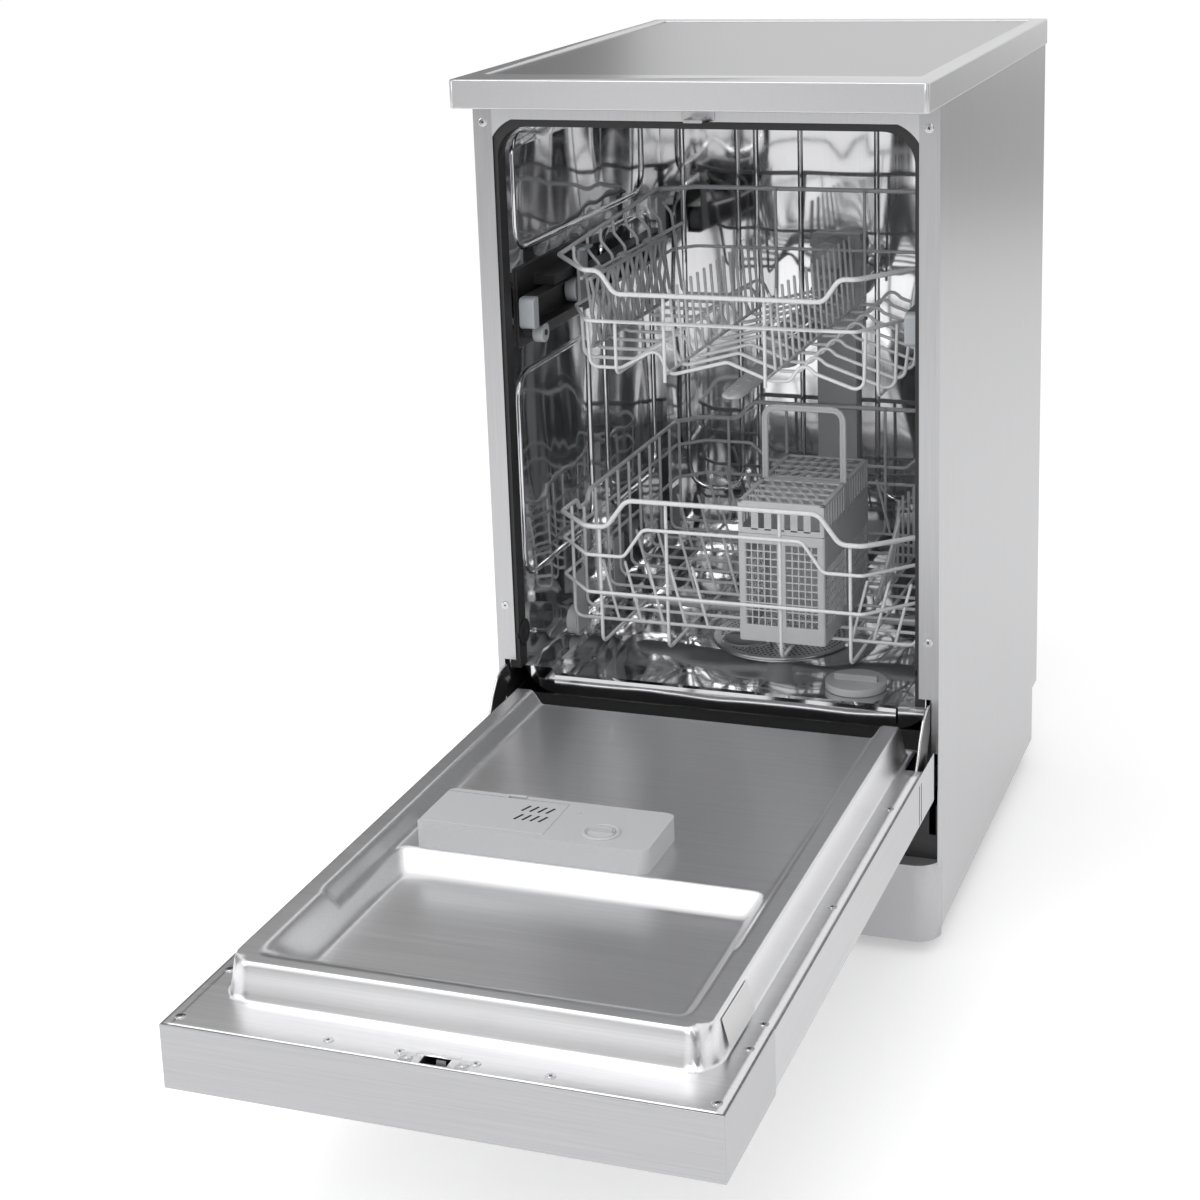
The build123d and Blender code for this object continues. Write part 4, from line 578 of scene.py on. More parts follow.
# %% Upper rack
UPPER_FRONT, UPPER_LENGTH, UPPER_RIM, UPPER_RISE = 45.0, 402.0, 652.0, 16.0
near_end = deep(UPPER_FRONT + (RIM + WIRE) / 2)
far_end = deep(UPPER_FRONT + UPPER_LENGTH - (RIM + WIRE) / 2)


def upper_x(level):
    """Half width of the sloping sides, at the centre of the wire."""
    return 172.7 - 0.12 * (UPPER_RIM - level)


def rim_level(place):
    """Level of the rim along the sides, which rises to the rear."""
    share = (place - UPPER_FRONT - 67) / (UPPER_LENGTH - 24 - 67)
    return UPPER_RIM + UPPER_RISE * min(1.0, max(0.0, share))


def upper_loop(diameter, middle, corner, sides, crest, foot, flare=0.0):
    """A loop round the upper rack, lower in the middle of the front."""
    out = (WIRE + diameter) / 2
    y0, y1 = near_end - out, far_end + out
    half_loop = [(crest, y0, middle), (foot, y0, corner), (135, y0, corner),
                 (upper_x(sides[0]) + out + flare, y0 + 67, sides[0]),
                 (upper_x(sides[1]) + out + flare, y1 - 24, sides[1]), (150, y1, sides[1])]
    return (mirrored(half_loop), True, False)


valleys = ((-56.0, 546.0), (45.0, 546.0))
runners = ((-106.0, 551.0), (148.0, 535.0))
wave = [(-upper_x(551), 551), runners[0], (-68, 572), valleys[0], (3, 562), valleys[1], (65, 546), (79, 566),
        (90, 555), runners[1], (upper_x(535), 535)]
FLARE = 9.0
rims = [upper_loop(RIM, 628.5, 651.0, (UPPER_RIM, UPPER_RIM + UPPER_RISE), 104.0, 119.5, FLARE)]
frame_wires = [upper_loop(WIRE, 601, 601, (601, 601), 60, 100)]
corner_out = upper_x(601) + WIRE - 135
corner_touch = WIRE * math.hypot(1, corner_out / 67)
for i in range(10):
    place = UPPER_FRONT + 18 + 40 * i
    tops = 601 if i < 2 else rim_level(place)
    if i > 1:
        rise = [(upper_x(tops - 26), tops - 26), (upper_x(tops) + FLARE, tops - 12),
                (upper_x(tops) + FLARE, tops + 1)]
        line_points = [(-x, z) for x, z in reversed(rise)] + wave + rise
    else:
        touch = 135 + corner_out * (place - 45.7) / 67 - corner_touch
        foot = min(upper_x(535), touch - 2)
        line_points = [(-touch, tops), (-min(upper_x(551), touch - 2), 551)]
        line_points += [(x, z) for x, z in wave[1:-1] if abs(x) < foot - 7]
        line_points += [(foot, max(535.0, 555 - (foot - 90) * 20 / 58)), (touch, tops)]
    frame_wires.append([(x, deep(place), z) for x, z in line_points])
hook_x = WIRE - upper_x(627)
frame_wires.append([(hook_x, deep(UPPER_FRONT + 75), 627), (hook_x, far_end, 627)])
row_lines, tines = [], []
for x, level in valleys:
    row_lines.append([(x, near_end, level + 3.4), (x, far_end, level + 3.4)])
    for y, top in ((near_end, 629.5), (far_end, UPPER_RIM + UPPER_RISE + 1)):
        frame_wires.append([(x, y, level - 4), (x, y, top)])
    for i in range(15):
        y = deep(UPPER_FRONT + 40 + 22 * i)
        tines.append(([(x, y, level + 4), (x - 5, y, level + 81)], False, True))
for x, level in runners:
    start = max(near_end, deep(45.7 + 67 * (abs(x) - 135 + corner_touch) / corner_out))
    frame_wires.append([(x, start, 602), (x, start, level - WIRE), (x, far_end, level - WIRE),
                        (x, far_end, 602)])


def cuboid(name, xs, ys, zs, soft=0.0, finish=pale_plastic):
    """A block between its limits in mm, with its edges rounded."""
    shape = bmesh.new()
    size = Vector((xs[1] - xs[0], ys[1] - ys[0], zs[1] - zs[0])) * MM
    centre = Vector((xs[0] + xs[1], ys[0] + ys[1], zs[0] + zs[1])) * MM / 2
    bmesh.ops.create_cube(shape, size=1, matrix=Matrix.Translation(centre) @ Matrix.Diagonal((*size, 1)))
    if soft:
        bmesh.ops.bevel(shape, geom=shape.edges[:], offset=soft * MM, segments=2, affect="EDGES", profile=0.5)
    return taken(shape, name, finish)


def pin(name, centre, axis, radius, depth, finish):
    """A round pin along an axis from its centre, in mm."""
    shape = bmesh.new()
    turned = Vector(axis).normalized().to_track_quat("Z", "Y").to_matrix().to_4x4()
    place = Matrix.Translation(Vector(centre) * MM) @ turned @ Matrix.Translation((0, 0, depth * MM / 2))
    bmesh.ops.create_cone(shape, cap_ends=True, segments=24, radius1=radius * MM, radius2=radius * MM,
                          depth=depth * MM, matrix=place)
    return taken(shape, name, finish)


PIN_X = 183.1
hangers = []
for side in (-1, 1):
    for place in (119.0, 375.0):
        spot, level = deep(UPPER_FRONT + place), rim_level(UPPER_FRONT + place)
        inner = upper_x(level) + WIRE / 2 + RIM - 0.3
        for xs, zs in (((inner, PIN_X), (595.5, level - 3)),
                       ((inner - 6, inner + 9), (level - 6, level - 3))):
            xs = sorted((side * xs[0], side * xs[1]))
            hangers.append(cuboid("hanger", xs, (spot - 12, spot + 12), zs, 0.6, blue_grey))
        hangers.append(pin("hanger_pin", (side * PIN_X, spot, 607.5), (side, 0, 0), 3.0, 13.2, zinc_steel))
piece("upper_rack_wires", [wires("upper_rims", rims, RIM, 12, wire_coating),
                           wires("upper_wires", frame_wires, WIRE, 9, wire_coating),
                           wires("upper_rows", row_lines, TINE, 4, wire_coating, 8),
                           wires("upper_tines", tines, TINE, 4, wire_coating, 8)] + hangers,
      "upper_rack", ["upper_rack_frame"])

# %% [markdown]
# ## The door liner
# The liner is one deep-drawn sheet. Its surface is a height over the plane of the door, so it is made as
# a sheet of points with their heights worked out by a rule: a block that rises out of the rim, a shelf
# and a pan sunk into it, each with walls that start and end in a smooth curve, as a press tool leaves
# them. The points lie closer where the walls are.


# %% Heights of the pressing
def soft_step(value):
    """From 0 to 1 with a gentle start and end."""
    t = min(1.0, max(0.0, value))
    return t * t * (3 - 2 * t)


def soft_least(values, blend):
    """The least of the values, rounded where two meet."""
    least = min(values)
    return least - blend * math.log(sum(math.exp((least - v) / blend) for v in values))


def liner_height(x, s):
    """Level of the pressed sheet, across the door and along it from the hinge."""
    side = 200.0 - abs(x)
    ends = (s + 16.0, 590.0 - s)
    corner = 26.0
    nearest = min(side, *ends)
    if side < corner and ends[1] < corner:
        nearest = corner - math.hypot(corner - side, corner - ends[1])
    block = 30.0 * soft_step(nearest / 8.0)
    shelf = 14.0 * soft_step((178.0 - abs(x)) / 13.0) * soft_step((462.0 - s) / 14.0)
    inside = soft_least([(176.0 - abs(x)) / 26.0, (s - 307.0) / 55.0, (572.0 - s) / 60.0], 0.12)
    pan = 30.0 * soft_step(inside * 1.05)
    return 212.0 + max(0.0, block - max(shelf, pan))


def steps(*runs):
    """Places along a line: each run is (start, stop, step)."""
    places = []
    for start, stop, step in runs:
        count = max(1, round((stop - start) / step))
        places += [start + (stop - start) * i / count for i in range(count)]
    return places + [runs[-1][1]]


half_columns = steps((0, 11, 11), (11, 52, 10), (52, 130, 10), (130, 142, 4), (142, 180, 2.2), (180, 190, 5),
                     (190, 201, 1.1), (201, 205, 4), (205, 219.5, 7))
columns = sorted({-x for x in half_columns} | set(half_columns))
rows = steps((-28, -18, 5), (-18, -6, 1.2), (-6, 260, 14), (260, 300, 10), (300, 322, 2.5), (322, 366, 2.5),
             (366, 440, 12), (440, 466, 2.6), (466, 506, 10), (506, 566, 3), (566, 592, 1.6), (592, 623, 8),
             (623, 634, 11), (634, 636.5, 2.5))
points = [Vector((x, along(s), liner_height(x, s))) * MM for s in rows for x in columns]
faces = []
wide = len(columns)
for j in range(len(rows) - 1):
    for i in range(wide - 1):
        x, s = (columns[i] + columns[i + 1]) / 2, (rows[j] + rows[j + 1]) / 2
        in_dispenser = -142 < x < 52 and 260 < s < 322
        in_latch = abs(x) < 11 and 623 < s < 634
        past_hinge = s < 18 and abs(x) > 205
        if not (in_dispenser or in_latch or past_hinge):
            a = j * wide + i
            faces.append((a, a + wide, a + wide + 1, a + 1))
pressing = plain_mesh("pressing", points, faces, satin_liner)
for face in pressing.polygons:
    face.use_smooth = True
sheet = worked(pressing, SOLIDIFY={"thickness": 0.9 * MM, "offset": -1})
piece("pressed_liner", [sheet], "door", ["door_liner"])
print("liner points:", len(points))

# %% [markdown]
# ## Bars and fittings
# Two more trees do the rest of the repeated work. The first puts a bar on every point, with its size and
# turn taken from attributes: baskets, skirts and slots are lists of bars. The second sets a ready-made
# fitting, such as a screw head, on every point. A third helper is a lathe for all that is round.


# %% The bar tree and the fitting tree
def placing_tree(title, sockets):
    """A tree that puts an instance on every point, turned by an attribute."""
    tree, given, end = start_tree(title, sockets + [("Material", "Material")])
    spread = tree.nodes.new("GeometryNodeInstanceOnPoints")
    turn = tree.nodes.new("GeometryNodeInputNamedAttribute")
    turn.data_type = "FLOAT_VECTOR"
    turn.inputs["Name"].default_value = "turn"
    tree.links.new(given.outputs["Geometry"], spread.inputs["Points"])
    tree.links.new(turn.outputs["Attribute"], spread.inputs["Rotation"])
    end_tree(tree, given, end, spread.outputs[0])
    return tree, given, spread


bar_tree, given, spread = placing_tree("bars_on_points", [])
block = bar_tree.nodes.new("GeometryNodeMeshCube")
block.inputs["Size"].default_value = (1, 1, 1)
size = bar_tree.nodes.new("GeometryNodeInputNamedAttribute")
size.data_type = "FLOAT_VECTOR"
size.inputs["Name"].default_value = "size"
bar_tree.links.new(block.outputs["Mesh"], spread.inputs["Instance"])
bar_tree.links.new(size.outputs["Attribute"], spread.inputs["Scale"])
fitting_tree, given, spread = placing_tree("fittings_on_points", [("Fitting", "Object")])
shape_of = fitting_tree.nodes.new("GeometryNodeObjectInfo")
fitting_tree.links.new(given.outputs["Fitting"], shape_of.inputs["Object"])
fitting_tree.links.new(shape_of.outputs["Geometry"], spread.inputs["Instance"])


def point_seed(name, spots, **vectors):
    """Points in mm with a vector attribute for each list given."""
    mesh = bpy.data.meshes.new(name)
    mesh.from_pydata([Vector(p) * MM for p in spots], [], [])
    for key, rows in vectors.items():
        attribute = mesh.attributes.new(key, "FLOAT_VECTOR", "POINT")
        attribute.data.foreach_set("vector", [v for r in rows for v in r])
    return mesh


def bars(name, items, finish, soft=0.3):
    """One mesh of bars, each (centre, size, turn) in mm and radians, with soft edges."""
    seed = point_seed(name, [i[0] for i in items], size=[Vector(i[1]) * MM for i in items],
                      turn=[i[2] for i in items])
    mesh = grown(name, bar_tree, seed, material=finish)
    return worked(mesh, BEVEL={"width": soft * MM, "segments": 1}) if soft else mesh


def fittings(name, fitting, items, finish):
    """One mesh with a fitting set on every (place, turn)."""
    holder = placed(name + "_fitting", fitting)
    seed = point_seed(name, [i[0] for i in items], turn=[i[1] for i in items])
    mesh = grown(name, fitting_tree, seed, fitting=holder, material=finish)
    bpy.data.objects.remove(holder)
    return mesh


def lathe(name, profile, centre=(0, 0, 0), axis=(0, 0, 1), finish=pale_plastic, sides=32):
    """A turned piece from (radius, height) pairs along an axis, in mm. Flat where the profile is bent."""
    turned = Vector(axis).normalized().to_track_quat("Z", "Y").to_matrix()
    shape = bmesh.new()
    rings = []
    for radius, height in profile:
        count = sides if radius else 1
        turns = [math.tau * i / sides for i in range(count)]
        ring = [Vector((radius * math.cos(a), radius * math.sin(a), height)) for a in turns]
        rings.append([shape.verts.new((Vector(centre) + turned @ v) * MM) for v in ring])
    for low, high in zip(rings, rings[1:]):
        for i in range(sides):
            corners = list(dict.fromkeys([low[i % len(low)], low[(i + 1) % len(low)],
                                          high[(i + 1) % len(high)], high[i % len(high)]]))
            if len(corners) > 2:
                shape.faces.new(corners).smooth = True
    bmesh.ops.remove_doubles(shape, verts=shape.verts[:], dist=0.0000005)
    bmesh.ops.recalc_face_normals(shape, faces=shape.faces[:])
    mesh = taken(shape, name, finish)
    mesh.set_sharp_from_angle(angle=math.radians(32))
    return mesh


PLANES = {"front": (0, 2, 1), "side": (1, 2, 0), "flat": (0, 1, 2)}


def lattice(plane, level, across, up, columns, rows, width=1.4, depth=1.6, lean=0.0):
    """Bars of a grid in a plane. With a lean, each row has its own slanted bars."""
    a, b, n = PLANES[plane]
    cell_a, cell_b = (across[1] - across[0]) / columns, (up[1] - up[0]) / rows
    grid = []

    def add(at_a, at_b, size_a, size_b, thick, spin):
        centre, size, turn = [0.0] * 3, [0.0] * 3, [0.0] * 3
        centre[a], centre[b], centre[n] = at_a, at_b, level
        size[a], size[b], size[n] = size_a, size_b, thick
        turn[n] = spin
        grid.append((centre, size, turn))

    for j in range(1, rows):
        add(sum(across) / 2, up[0] + cell_b * j, across[1] - across[0], width, depth * 0.9, 0)
    for j in range(rows if lean else 1):
        height = cell_b / math.cos(lean) if lean else up[1] - up[0]
        for i in range(1, columns):
            add(across[0] + cell_a * i, up[0] + height * math.cos(lean) * (j + 0.5), width, height,
                depth, lean)
    return grid


print("trees:", len(bpy.data.node_groups))

# %% [markdown]
# ### The cutlery basket
# Moulded walls with a fine grid, solid bands above and below, and a plain post in the middle of the
# front. The bridge between the two lids carries a double-ribbed handle.

# %% Basket
LEFT, RIGHT, NEAR, FAR, SEAM, TOP = 7.0, 95.0, 140.5, 317.5, 387.0, 420.0
MIDDLE = (NEAR + FAR) / 2
FOOT = 275.4
body = [cuboid("post", xs, ys, (FOOT, SEAM), 2.0)
        for xs in ((LEFT, LEFT + 8), (RIGHT - 8, RIGHT)) for ys in ((NEAR, NEAR + 8), (FAR - 8, FAR))]
grid = []
for y in (NEAR + 1, FAR - 1):
    for zs in ((FOOT, FOOT + 17), (SEAM - 10, SEAM)):
        body.append(cuboid("band", (LEFT + 1.4, RIGHT - 1.4), (y - 1.1, y + 1.1), zs, 0.4))
    body.append(cuboid("post", (46.5, 55.5), (y - 1.3, y + 1.3), (FOOT + 10, SEAM - 5), 0.5))
    for across in ((LEFT + 7, 46.5), (55.5, RIGHT - 7)):
        grid += lattice("front", y, across, (FOOT + 17, SEAM - 10), 5, 11)
for x in (LEFT + 1, RIGHT - 1):
    for zs in ((FOOT, FOOT + 17), (SEAM - 34, SEAM)):
        body.append(cuboid("band", (x - 1.1, x + 1.1), (NEAR + 1.4, FAR - 1.4), zs, 0.4))
    body.append(cuboid("post", (x - 1.2, x + 1.2), (MIDDLE - 6, MIDDLE + 6), (FOOT, SEAM), 0.5))
    for across in ((NEAR + 7, MIDDLE - 6), (MIDDLE + 6, FAR - 7)):
        grid += lattice("side", x, across, (FOOT + 17, SEAM - 34), 11, 6, lean=0.3)
grid += lattice("flat", FOOT + 1, (LEFT + 2, RIGHT - 2), (NEAR + 2, FAR - 2), 11, 20, 1.8, 1.8)
body.append(cuboid("partition", (LEFT + 2, RIGHT - 2), (MIDDLE - 1, MIDDLE + 1), (FOOT + 1, SEAM)))
body.append(cuboid("bridge", (LEFT, RIGHT), (MIDDLE - 5, MIDDLE + 5), (SEAM - 20, TOP), 1.2))
for name, inset, thick, bend in (("handle_rib", 1.8, 3.6, 13), ("handle_rib", 5.2, 3.6, 9.6),
                                 ("handle_web", 3.5, 2.6, 11.3)):
    low, high = LEFT + inset, RIGHT - inset
    legs = [(low, MIDDLE, TOP - 4), (low, MIDDLE, 497 - inset), (high, MIDDLE, 497 - inset),
            (high, MIDDLE, TOP - 4)]
    body.append(wires(name, [legs], thick, bend, pale_plastic, 12))
piece("basket_shell", body + [bars("basket_grid", grid, pale_plastic, 0.25)], "basket", ["cutlery_basket"])

# %% Basket lids
for name, side in (("basket_lid_front", -1), ("basket_lid_rear", 1)):
    hinge_edge, outer = MIDDLE + side * 5.3, (NEAR if side < 0 else FAR)
    low, high = sorted((hinge_edge, outer))
    shell = []
    for xs, ys in (((LEFT, RIGHT), (low, low + 5)), ((LEFT, RIGHT), (high - 5, high)),
                   ((LEFT, LEFT + 5), (low, high)), ((RIGHT - 5, RIGHT), (low, high))):
        shell.append(cuboid("border", xs, ys, (TOP - 2.4, TOP), 0.9))
    slots = lattice("flat", TOP - 1.3, (LEFT + 5, RIGHT - 5), (low + 5, high - 5), 7, 4, 3.4, 2.4,
                    0.4 * -side)
    skin = outer - side
    slots += lattice("front", skin, (LEFT + 4, RIGHT - 4), (391, 412), 6, 1, 7.5, 1.8)
    shell.append(cuboid("brow", (LEFT + 2, RIGHT - 2), sorted((skin - 0.9, skin + 0.9)), (411, TOP - 1), 0.4))
    shell.append(cuboid("hem", (LEFT + 2, RIGHT - 2), sorted((skin - 0.9, skin + 0.9)), (387.3, 393), 0.4))
    for x in (LEFT + 1, RIGHT - 1):
        shell.append(cuboid("hem", (x - 0.9, x + 0.9), (low + 2, high - 2), (387.3, 393), 0.4))
        slots += lattice("side", x, (low + 2, high - 2), (392, TOP - 1), 8, 1, 4.6, 1.8)
        ys = sorted((outer, outer - side * 5))
        shell.append(cuboid("post", sorted((x - 1 if x < 50 else x + 1, x + 4 if x < 50 else x - 4)), ys,
                            (387.3, TOP - 0.5), 1.2))
        shell.append(cuboid("post", (x - 0.9, x + 0.9), sorted((hinge_edge, hinge_edge + side * 5)),
                            (387.3, TOP - 1), 0.4))
    piece(name + "_shell", shell + [bars("lid_slots", slots, pale_plastic, 0.35)], name + "_part", [name])

# %% [markdown]
# ### The cup shelf
# It hangs folded against the left side: two rails with bent strips between them, like a fence of
# chevrons, on three knuckles that clip round the hinge wire.

# %% Cup shelf
hinge_level = 627.0
strips = []
for i in range(16):
    y = deep(UPPER_FRONT + 72) + 7.5 + 15 * i
    for j in range(4):
        tilt = 0.46 if (i + j) % 2 else -0.46
        strips.append(((hook_x + 10, y, 558 + 8.6 + 17.2 * j), (3.0, 3.8, 20.0), (tilt, 0, 0)))
shelf = [bars("chevrons", strips, shelf_plastic, 0.4)]
run = (deep(UPPER_FRONT + 72), deep(UPPER_FRONT + 312))
for zs in ((556, 559), (625.5, 629)):
    shelf.append(cuboid("rail", (hook_x + 8, hook_x + 12), run, zs, 0.8, shelf_plastic))
for i in (2, 4, 6):
    knuckle = deep(UPPER_FRONT + 18 + 40 * i + 20)
    shelf.append(lathe("knuckle", [(1.9, 0), (4.5, 0), (4.5, 12), (1.9, 12), (1.9, 0)],
                       (hook_x, knuckle - 6, hinge_level), (0, 1, 0), shelf_plastic, 20))
    shelf.append(cuboid("knuckle_arm", (hook_x + 3.5, hook_x + 9), (knuckle - 6, knuckle + 6),
                        (hinge_level - 2, hinge_level + 2), 0.5, shelf_plastic))
piece("chevron_shelf", shelf, "cup_shelf_part", ["cup_shelf"])

# %% [markdown]
# ### Spray arms
# An arm is a hollow blade: wide and full at the hub, thinner at the tips. It is lofted from rounded
# sections, and the nozzles are set on it as fittings, each a raised ring round a near-black disc of
# painted shade that stands for the hole.


# %% Spray arms
def blade(name, centre, reach, finish, crosswise):
    """The lofted arm, along X or along Y, around its centre in mm."""
    shape = bmesh.new()
    stations, around = 40, 20
    rings = []
    for k in range(stations + 1):
        t = -reach + 2 * reach * k / stations
        past = max(0.0, (abs(t) - (reach - 16)) / 16)
        close = math.sqrt(max(0.0, 1 - past * past))
        half_wide = (14.0 - 3.5 * abs(t) / reach) * close
        half_high = 5.0 * (1 - 0.25 * abs(t) / reach) * (0.25 + 0.75 * close)
        ring = []
        for i in range(around):
            c, s = math.cos(math.tau * i / around), math.sin(math.tau * i / around)
            side = math.copysign(abs(c) ** 0.7, c) * half_wide
            up = math.copysign(abs(s) ** 0.8, s) * half_high
            spot = Vector((t, side, up)) if crosswise else Vector((-side, t, up))
            ring.append(shape.verts.new((Vector(centre) + spot) * MM))
        rings.append(ring)
    for low, high in zip(rings, rings[1:]):
        for i in range(around):
            shape.faces.new((low[i], high[i], high[(i + 1) % around], low[(i + 1) % around])).smooth = True
    bmesh.ops.remove_doubles(shape, verts=shape.verts[:], dist=0.000001)
    bmesh.ops.holes_fill(shape, edges=[e for e in shape.edges if e.is_boundary])
    bmesh.ops.recalc_face_normals(shape, faces=shape.faces[:])
    return taken(shape, name, finish)


nozzle = lathe("nozzle", [(1.4, -1), (3.4, -1), (3.2, 0.4), (2.6, 0.9), (1.6, 0.9), (1.4, -1)], sides=18)
# The jet is a thin near-black disc inside the nozzle ring: painted shade in place of the hole.
jet = lathe("jet", [(0, 0.5), (1.7, 0.5), (1.7, 0.2), (0, 0.2)], finish=dark_gap, sides=14)
arms = (("lower_spray_arm", (0.0, deep(255), 245.0), 168.0, True, 9.05, (4.6,)),
        ("upper_spray_arm", (0.0, deep(246), 523.0), 172.0, False, 12.05, (4.6, -4.6)))
for name, centre, reach, crosswise, bore, faces_up in arms:
    spots = []
    for face in faces_up:
        for t, off in ((38, 4), (62, -5), (88, 3), (112, -3), (134, 2), (154, 0)):
            for way in (-1, 1):
                flat_spot = (way * t, off) if crosswise else (-off, way * t)
                lift = face * (1 - 0.2 * t / reach)
                spots.append(((centre[0] + flat_spot[0], centre[1] + flat_spot[1], centre[2] + lift),
                              (0.12 if crosswise else 0.0, 0.0, 0.0) if face > 0 else (math.pi, 0.0, 0.0)))
    hub = [(bore, -5.5), (bore + 9, -5.5), (bore + 9.6, -3), (bore + 9.6, 3), (bore + 8, 5.6),
           (bore + 4, 6.4), (bore, 6.4), (bore, -5.5)]
    meshes = [blade(name, centre, reach, pale_plastic, crosswise), lathe("hub", hub, centre),
              fittings("nozzles", nozzle, spots, pale_plastic), fittings("jets", jet, spots, dark_gap)]
    if name == "lower_spray_arm":
        cap = [(0, 11), (7, 10.6), (12, 8.6), (15.6, 5), (15.6, 2), (0, 2)]
        meshes.append(lathe("hub_cap", cap, centre))
        collar = [(bore, -13), (bore + 7, -13), (bore + 7, -4), (bore, -4), (bore, -13)]
    else:
        collar = [(bore, 4), (bore + 5, 4), (bore + 5, 14), (bore, 14), (bore, 4)]
    meshes.append(lathe("collar", collar, centre))
    piece(name + "_blade", meshes, name + "_part", [name])

# %% [markdown]
# ### Wheels
# A rack wheel is a flanged drum with ribs inside. It is turned on the lathe, and the ribs are bars.

# %% Wheels
WHEEL_X, WHEEL_LEVEL = 183.99, 259.3
drum = [(0, 3.4), (4.6, 3.4), (13.2, 3.4), (13.2, 11.4), (14.0, 12), (15.0, 11.4), (15.0, 3.6),
        (16.4, 3.0), (17.0, 2.4), (17.0, 0.6), (16.4, 0), (13.8, 0), (13.2, 0.8), (13.2, 1.6), (5.4, 1.6),
        (5.4, 0), (0, 0)]
boss = [(0, 3), (5.0, 3), (5.0, 10.6), (4.4, 11.2), (2.2, 11.2), (2.2, 10.2), (0, 10.2)]
for number, place in enumerate((91, 206, 400), 1):
    meshes = []
    for side in (-1, 1):
        spot = (side * WHEEL_X, deep(LOWER_FRONT + place), WHEEL_LEVEL)
        meshes += [lathe("drum", drum, spot, (side, 0, 0), pale_plastic, 40),
                   lathe("boss", boss, spot, (side, 0, 0), pale_plastic, 24)]
        ribs = [((side * (WHEEL_X + 6.6), spot[1] + 9 * math.cos(a), spot[2] + 9 * math.sin(a)),
                 (6.6, 8.6, 1.2), (a, 0, 0)) for a in (math.tau * k / 8 for k in range(8))]
        meshes.append(bars("ribs", ribs, pale_plastic, 0.2))
    pair = f"wheel_pair_{number}"
    piece(f"flanged_wheels_{number}", meshes, pair + "_part", [pair])

# %% [markdown]
# ### Screws
# Small pan heads, set on their points, round the door and on the front flanges. Each has a cross
# recess, drawn as a flat near-black cross of painted shade.

# %% Screws
head = lathe("head", [(0, 0), (4.2, 0), (4.2, 0.3), (3.7, 0.5), (3.0, 0.5), (2.7, 0.75), (1.6, 0.85),
                      (0, 0.85)], finish=screw_steel, sides=24)
# The cross recess is two thin near-black bars on the head: painted shade in place of the hollow.
recess = bars("recess", [((0, 0, 0.84), size, (0, 0, 0)) for size in ((3.0, 0.7, 0.1), (0.7, 3.0, 0.1))],
              dark_gap, 0)
rim_spots = [(x, 624) for x in (-212, -88, -30, 30, 88, 212)]
rim_spots += [(side * 212, s) for side in (-1, 1) for s in (111, 311, 510, 547)]
rim_items = [((x, along(s), 212.0), (0, 0, 0.3 * k)) for k, (x, s) in enumerate(rim_spots)]
flange_items = [((x, FRONT, z), (math.pi / 2, 0.4 * k, 0)) for k, (x, z) in
                enumerate(((-214, 317), (-214, 799), (214, 317), (214, 799)))]
for name, body, items in (("rim_screws", "door", rim_items), ("flange_screws", "cabinet", flange_items)):
    piece(name + "_heads", [fittings("heads", head, items, screw_steel),
                            fittings("recesses", recess, items, dark_gap)], body, [name])

# %% [markdown]
# ## Small things on the door
# Slots in the dispenser lid, drawn as flat near-black bars of painted shade, a turned ring round the
# cap, the steel edge of the hinge guards, a plate round the latch, and a bare plate where the rating
# label would be.

# %% Door details
# The lid slots are thin near-black bars on the lid: painted shade in place of openings.
slots = [((-46 - 7.5 * i, along(s), 250.0), (2.2, 12.0, 0.25), (0, 0, -0.35))
         for i in range(4) for s in (276, 294)]
piece("lid_slots", [bars("slots", slots, dark_gap, 0)], "dispenser_lid_part")
ring = lathe("ring", [(12.6, 0), (16.6, 0), (16.6, 0.9), (15.6, 1.8), (14.2, 1.8), (13.4, 1.0), (12.6, 1.0),
                      (12.6, 0)], (11, along(305), 249.8), sides=48)
dot = lathe("dot", [(0, 0), (3.0, 0), (3.0, 0.5), (0, 0.5)], (-22, along(272), 249.9),
            finish=shelf_plastic, sides=24)
edge_plate = bars("edge_plate", [((x, along(s), 212.2), size, (0, 0, 0)) for x, s, size in
                                 ((-22, 628.5, (10.4, 14, 0.4)), (22, 628.5, (10.4, 14, 0.4)),
                                  (0, 620.2, (34, 3.0, 0.4)))], screw_steel, 0.15)
plate_screws = fittings("plate_screws", head, [((x, along(628.5), 212.3), (0, 0, 0.6)) for x in (-22, 22)],
                        screw_steel)
label_corners = [(x, along(s), z) for x, z, places in ((200.9, 214.5, (556, 494)), (194.6, 238.0, (494, 556)))
                 for s in places]
label = plain_mesh("bare_label", label_corners, [(0, 1, 2, 3)], sticker_white, MM)
guard_outline = ((21, 206), (17, 211), (9, 222), (2, 234), (-12, 249), (-24, 253.5), (-38, 255))
guards = []
for side in (-1, 1):
    edge_line = [(side * 215.2, along(s), z) for s, z in guard_outline]
    guards.append(wires("guard_edge", [edge_line], 2.6, 8, screw_steel))
    guards.append(lathe("rivet", [(0, 0), (4, 0), (4, 0.8), (2.8, 1.6), (0, 1.9)],
                        (side * 214, along(-36), 239), (-side, 0, 0), screw_steel, 24))
    seams = [((side * 222.05, along(s), 184), (0.3, 0.9, 38), (0, 0, 0)) for s in (26, 34)]
    guards.append(bars("seam", seams, black_plastic, 0))
piece("door_details", [ring, dot, edge_plate, plate_screws, label] + guards, "door")
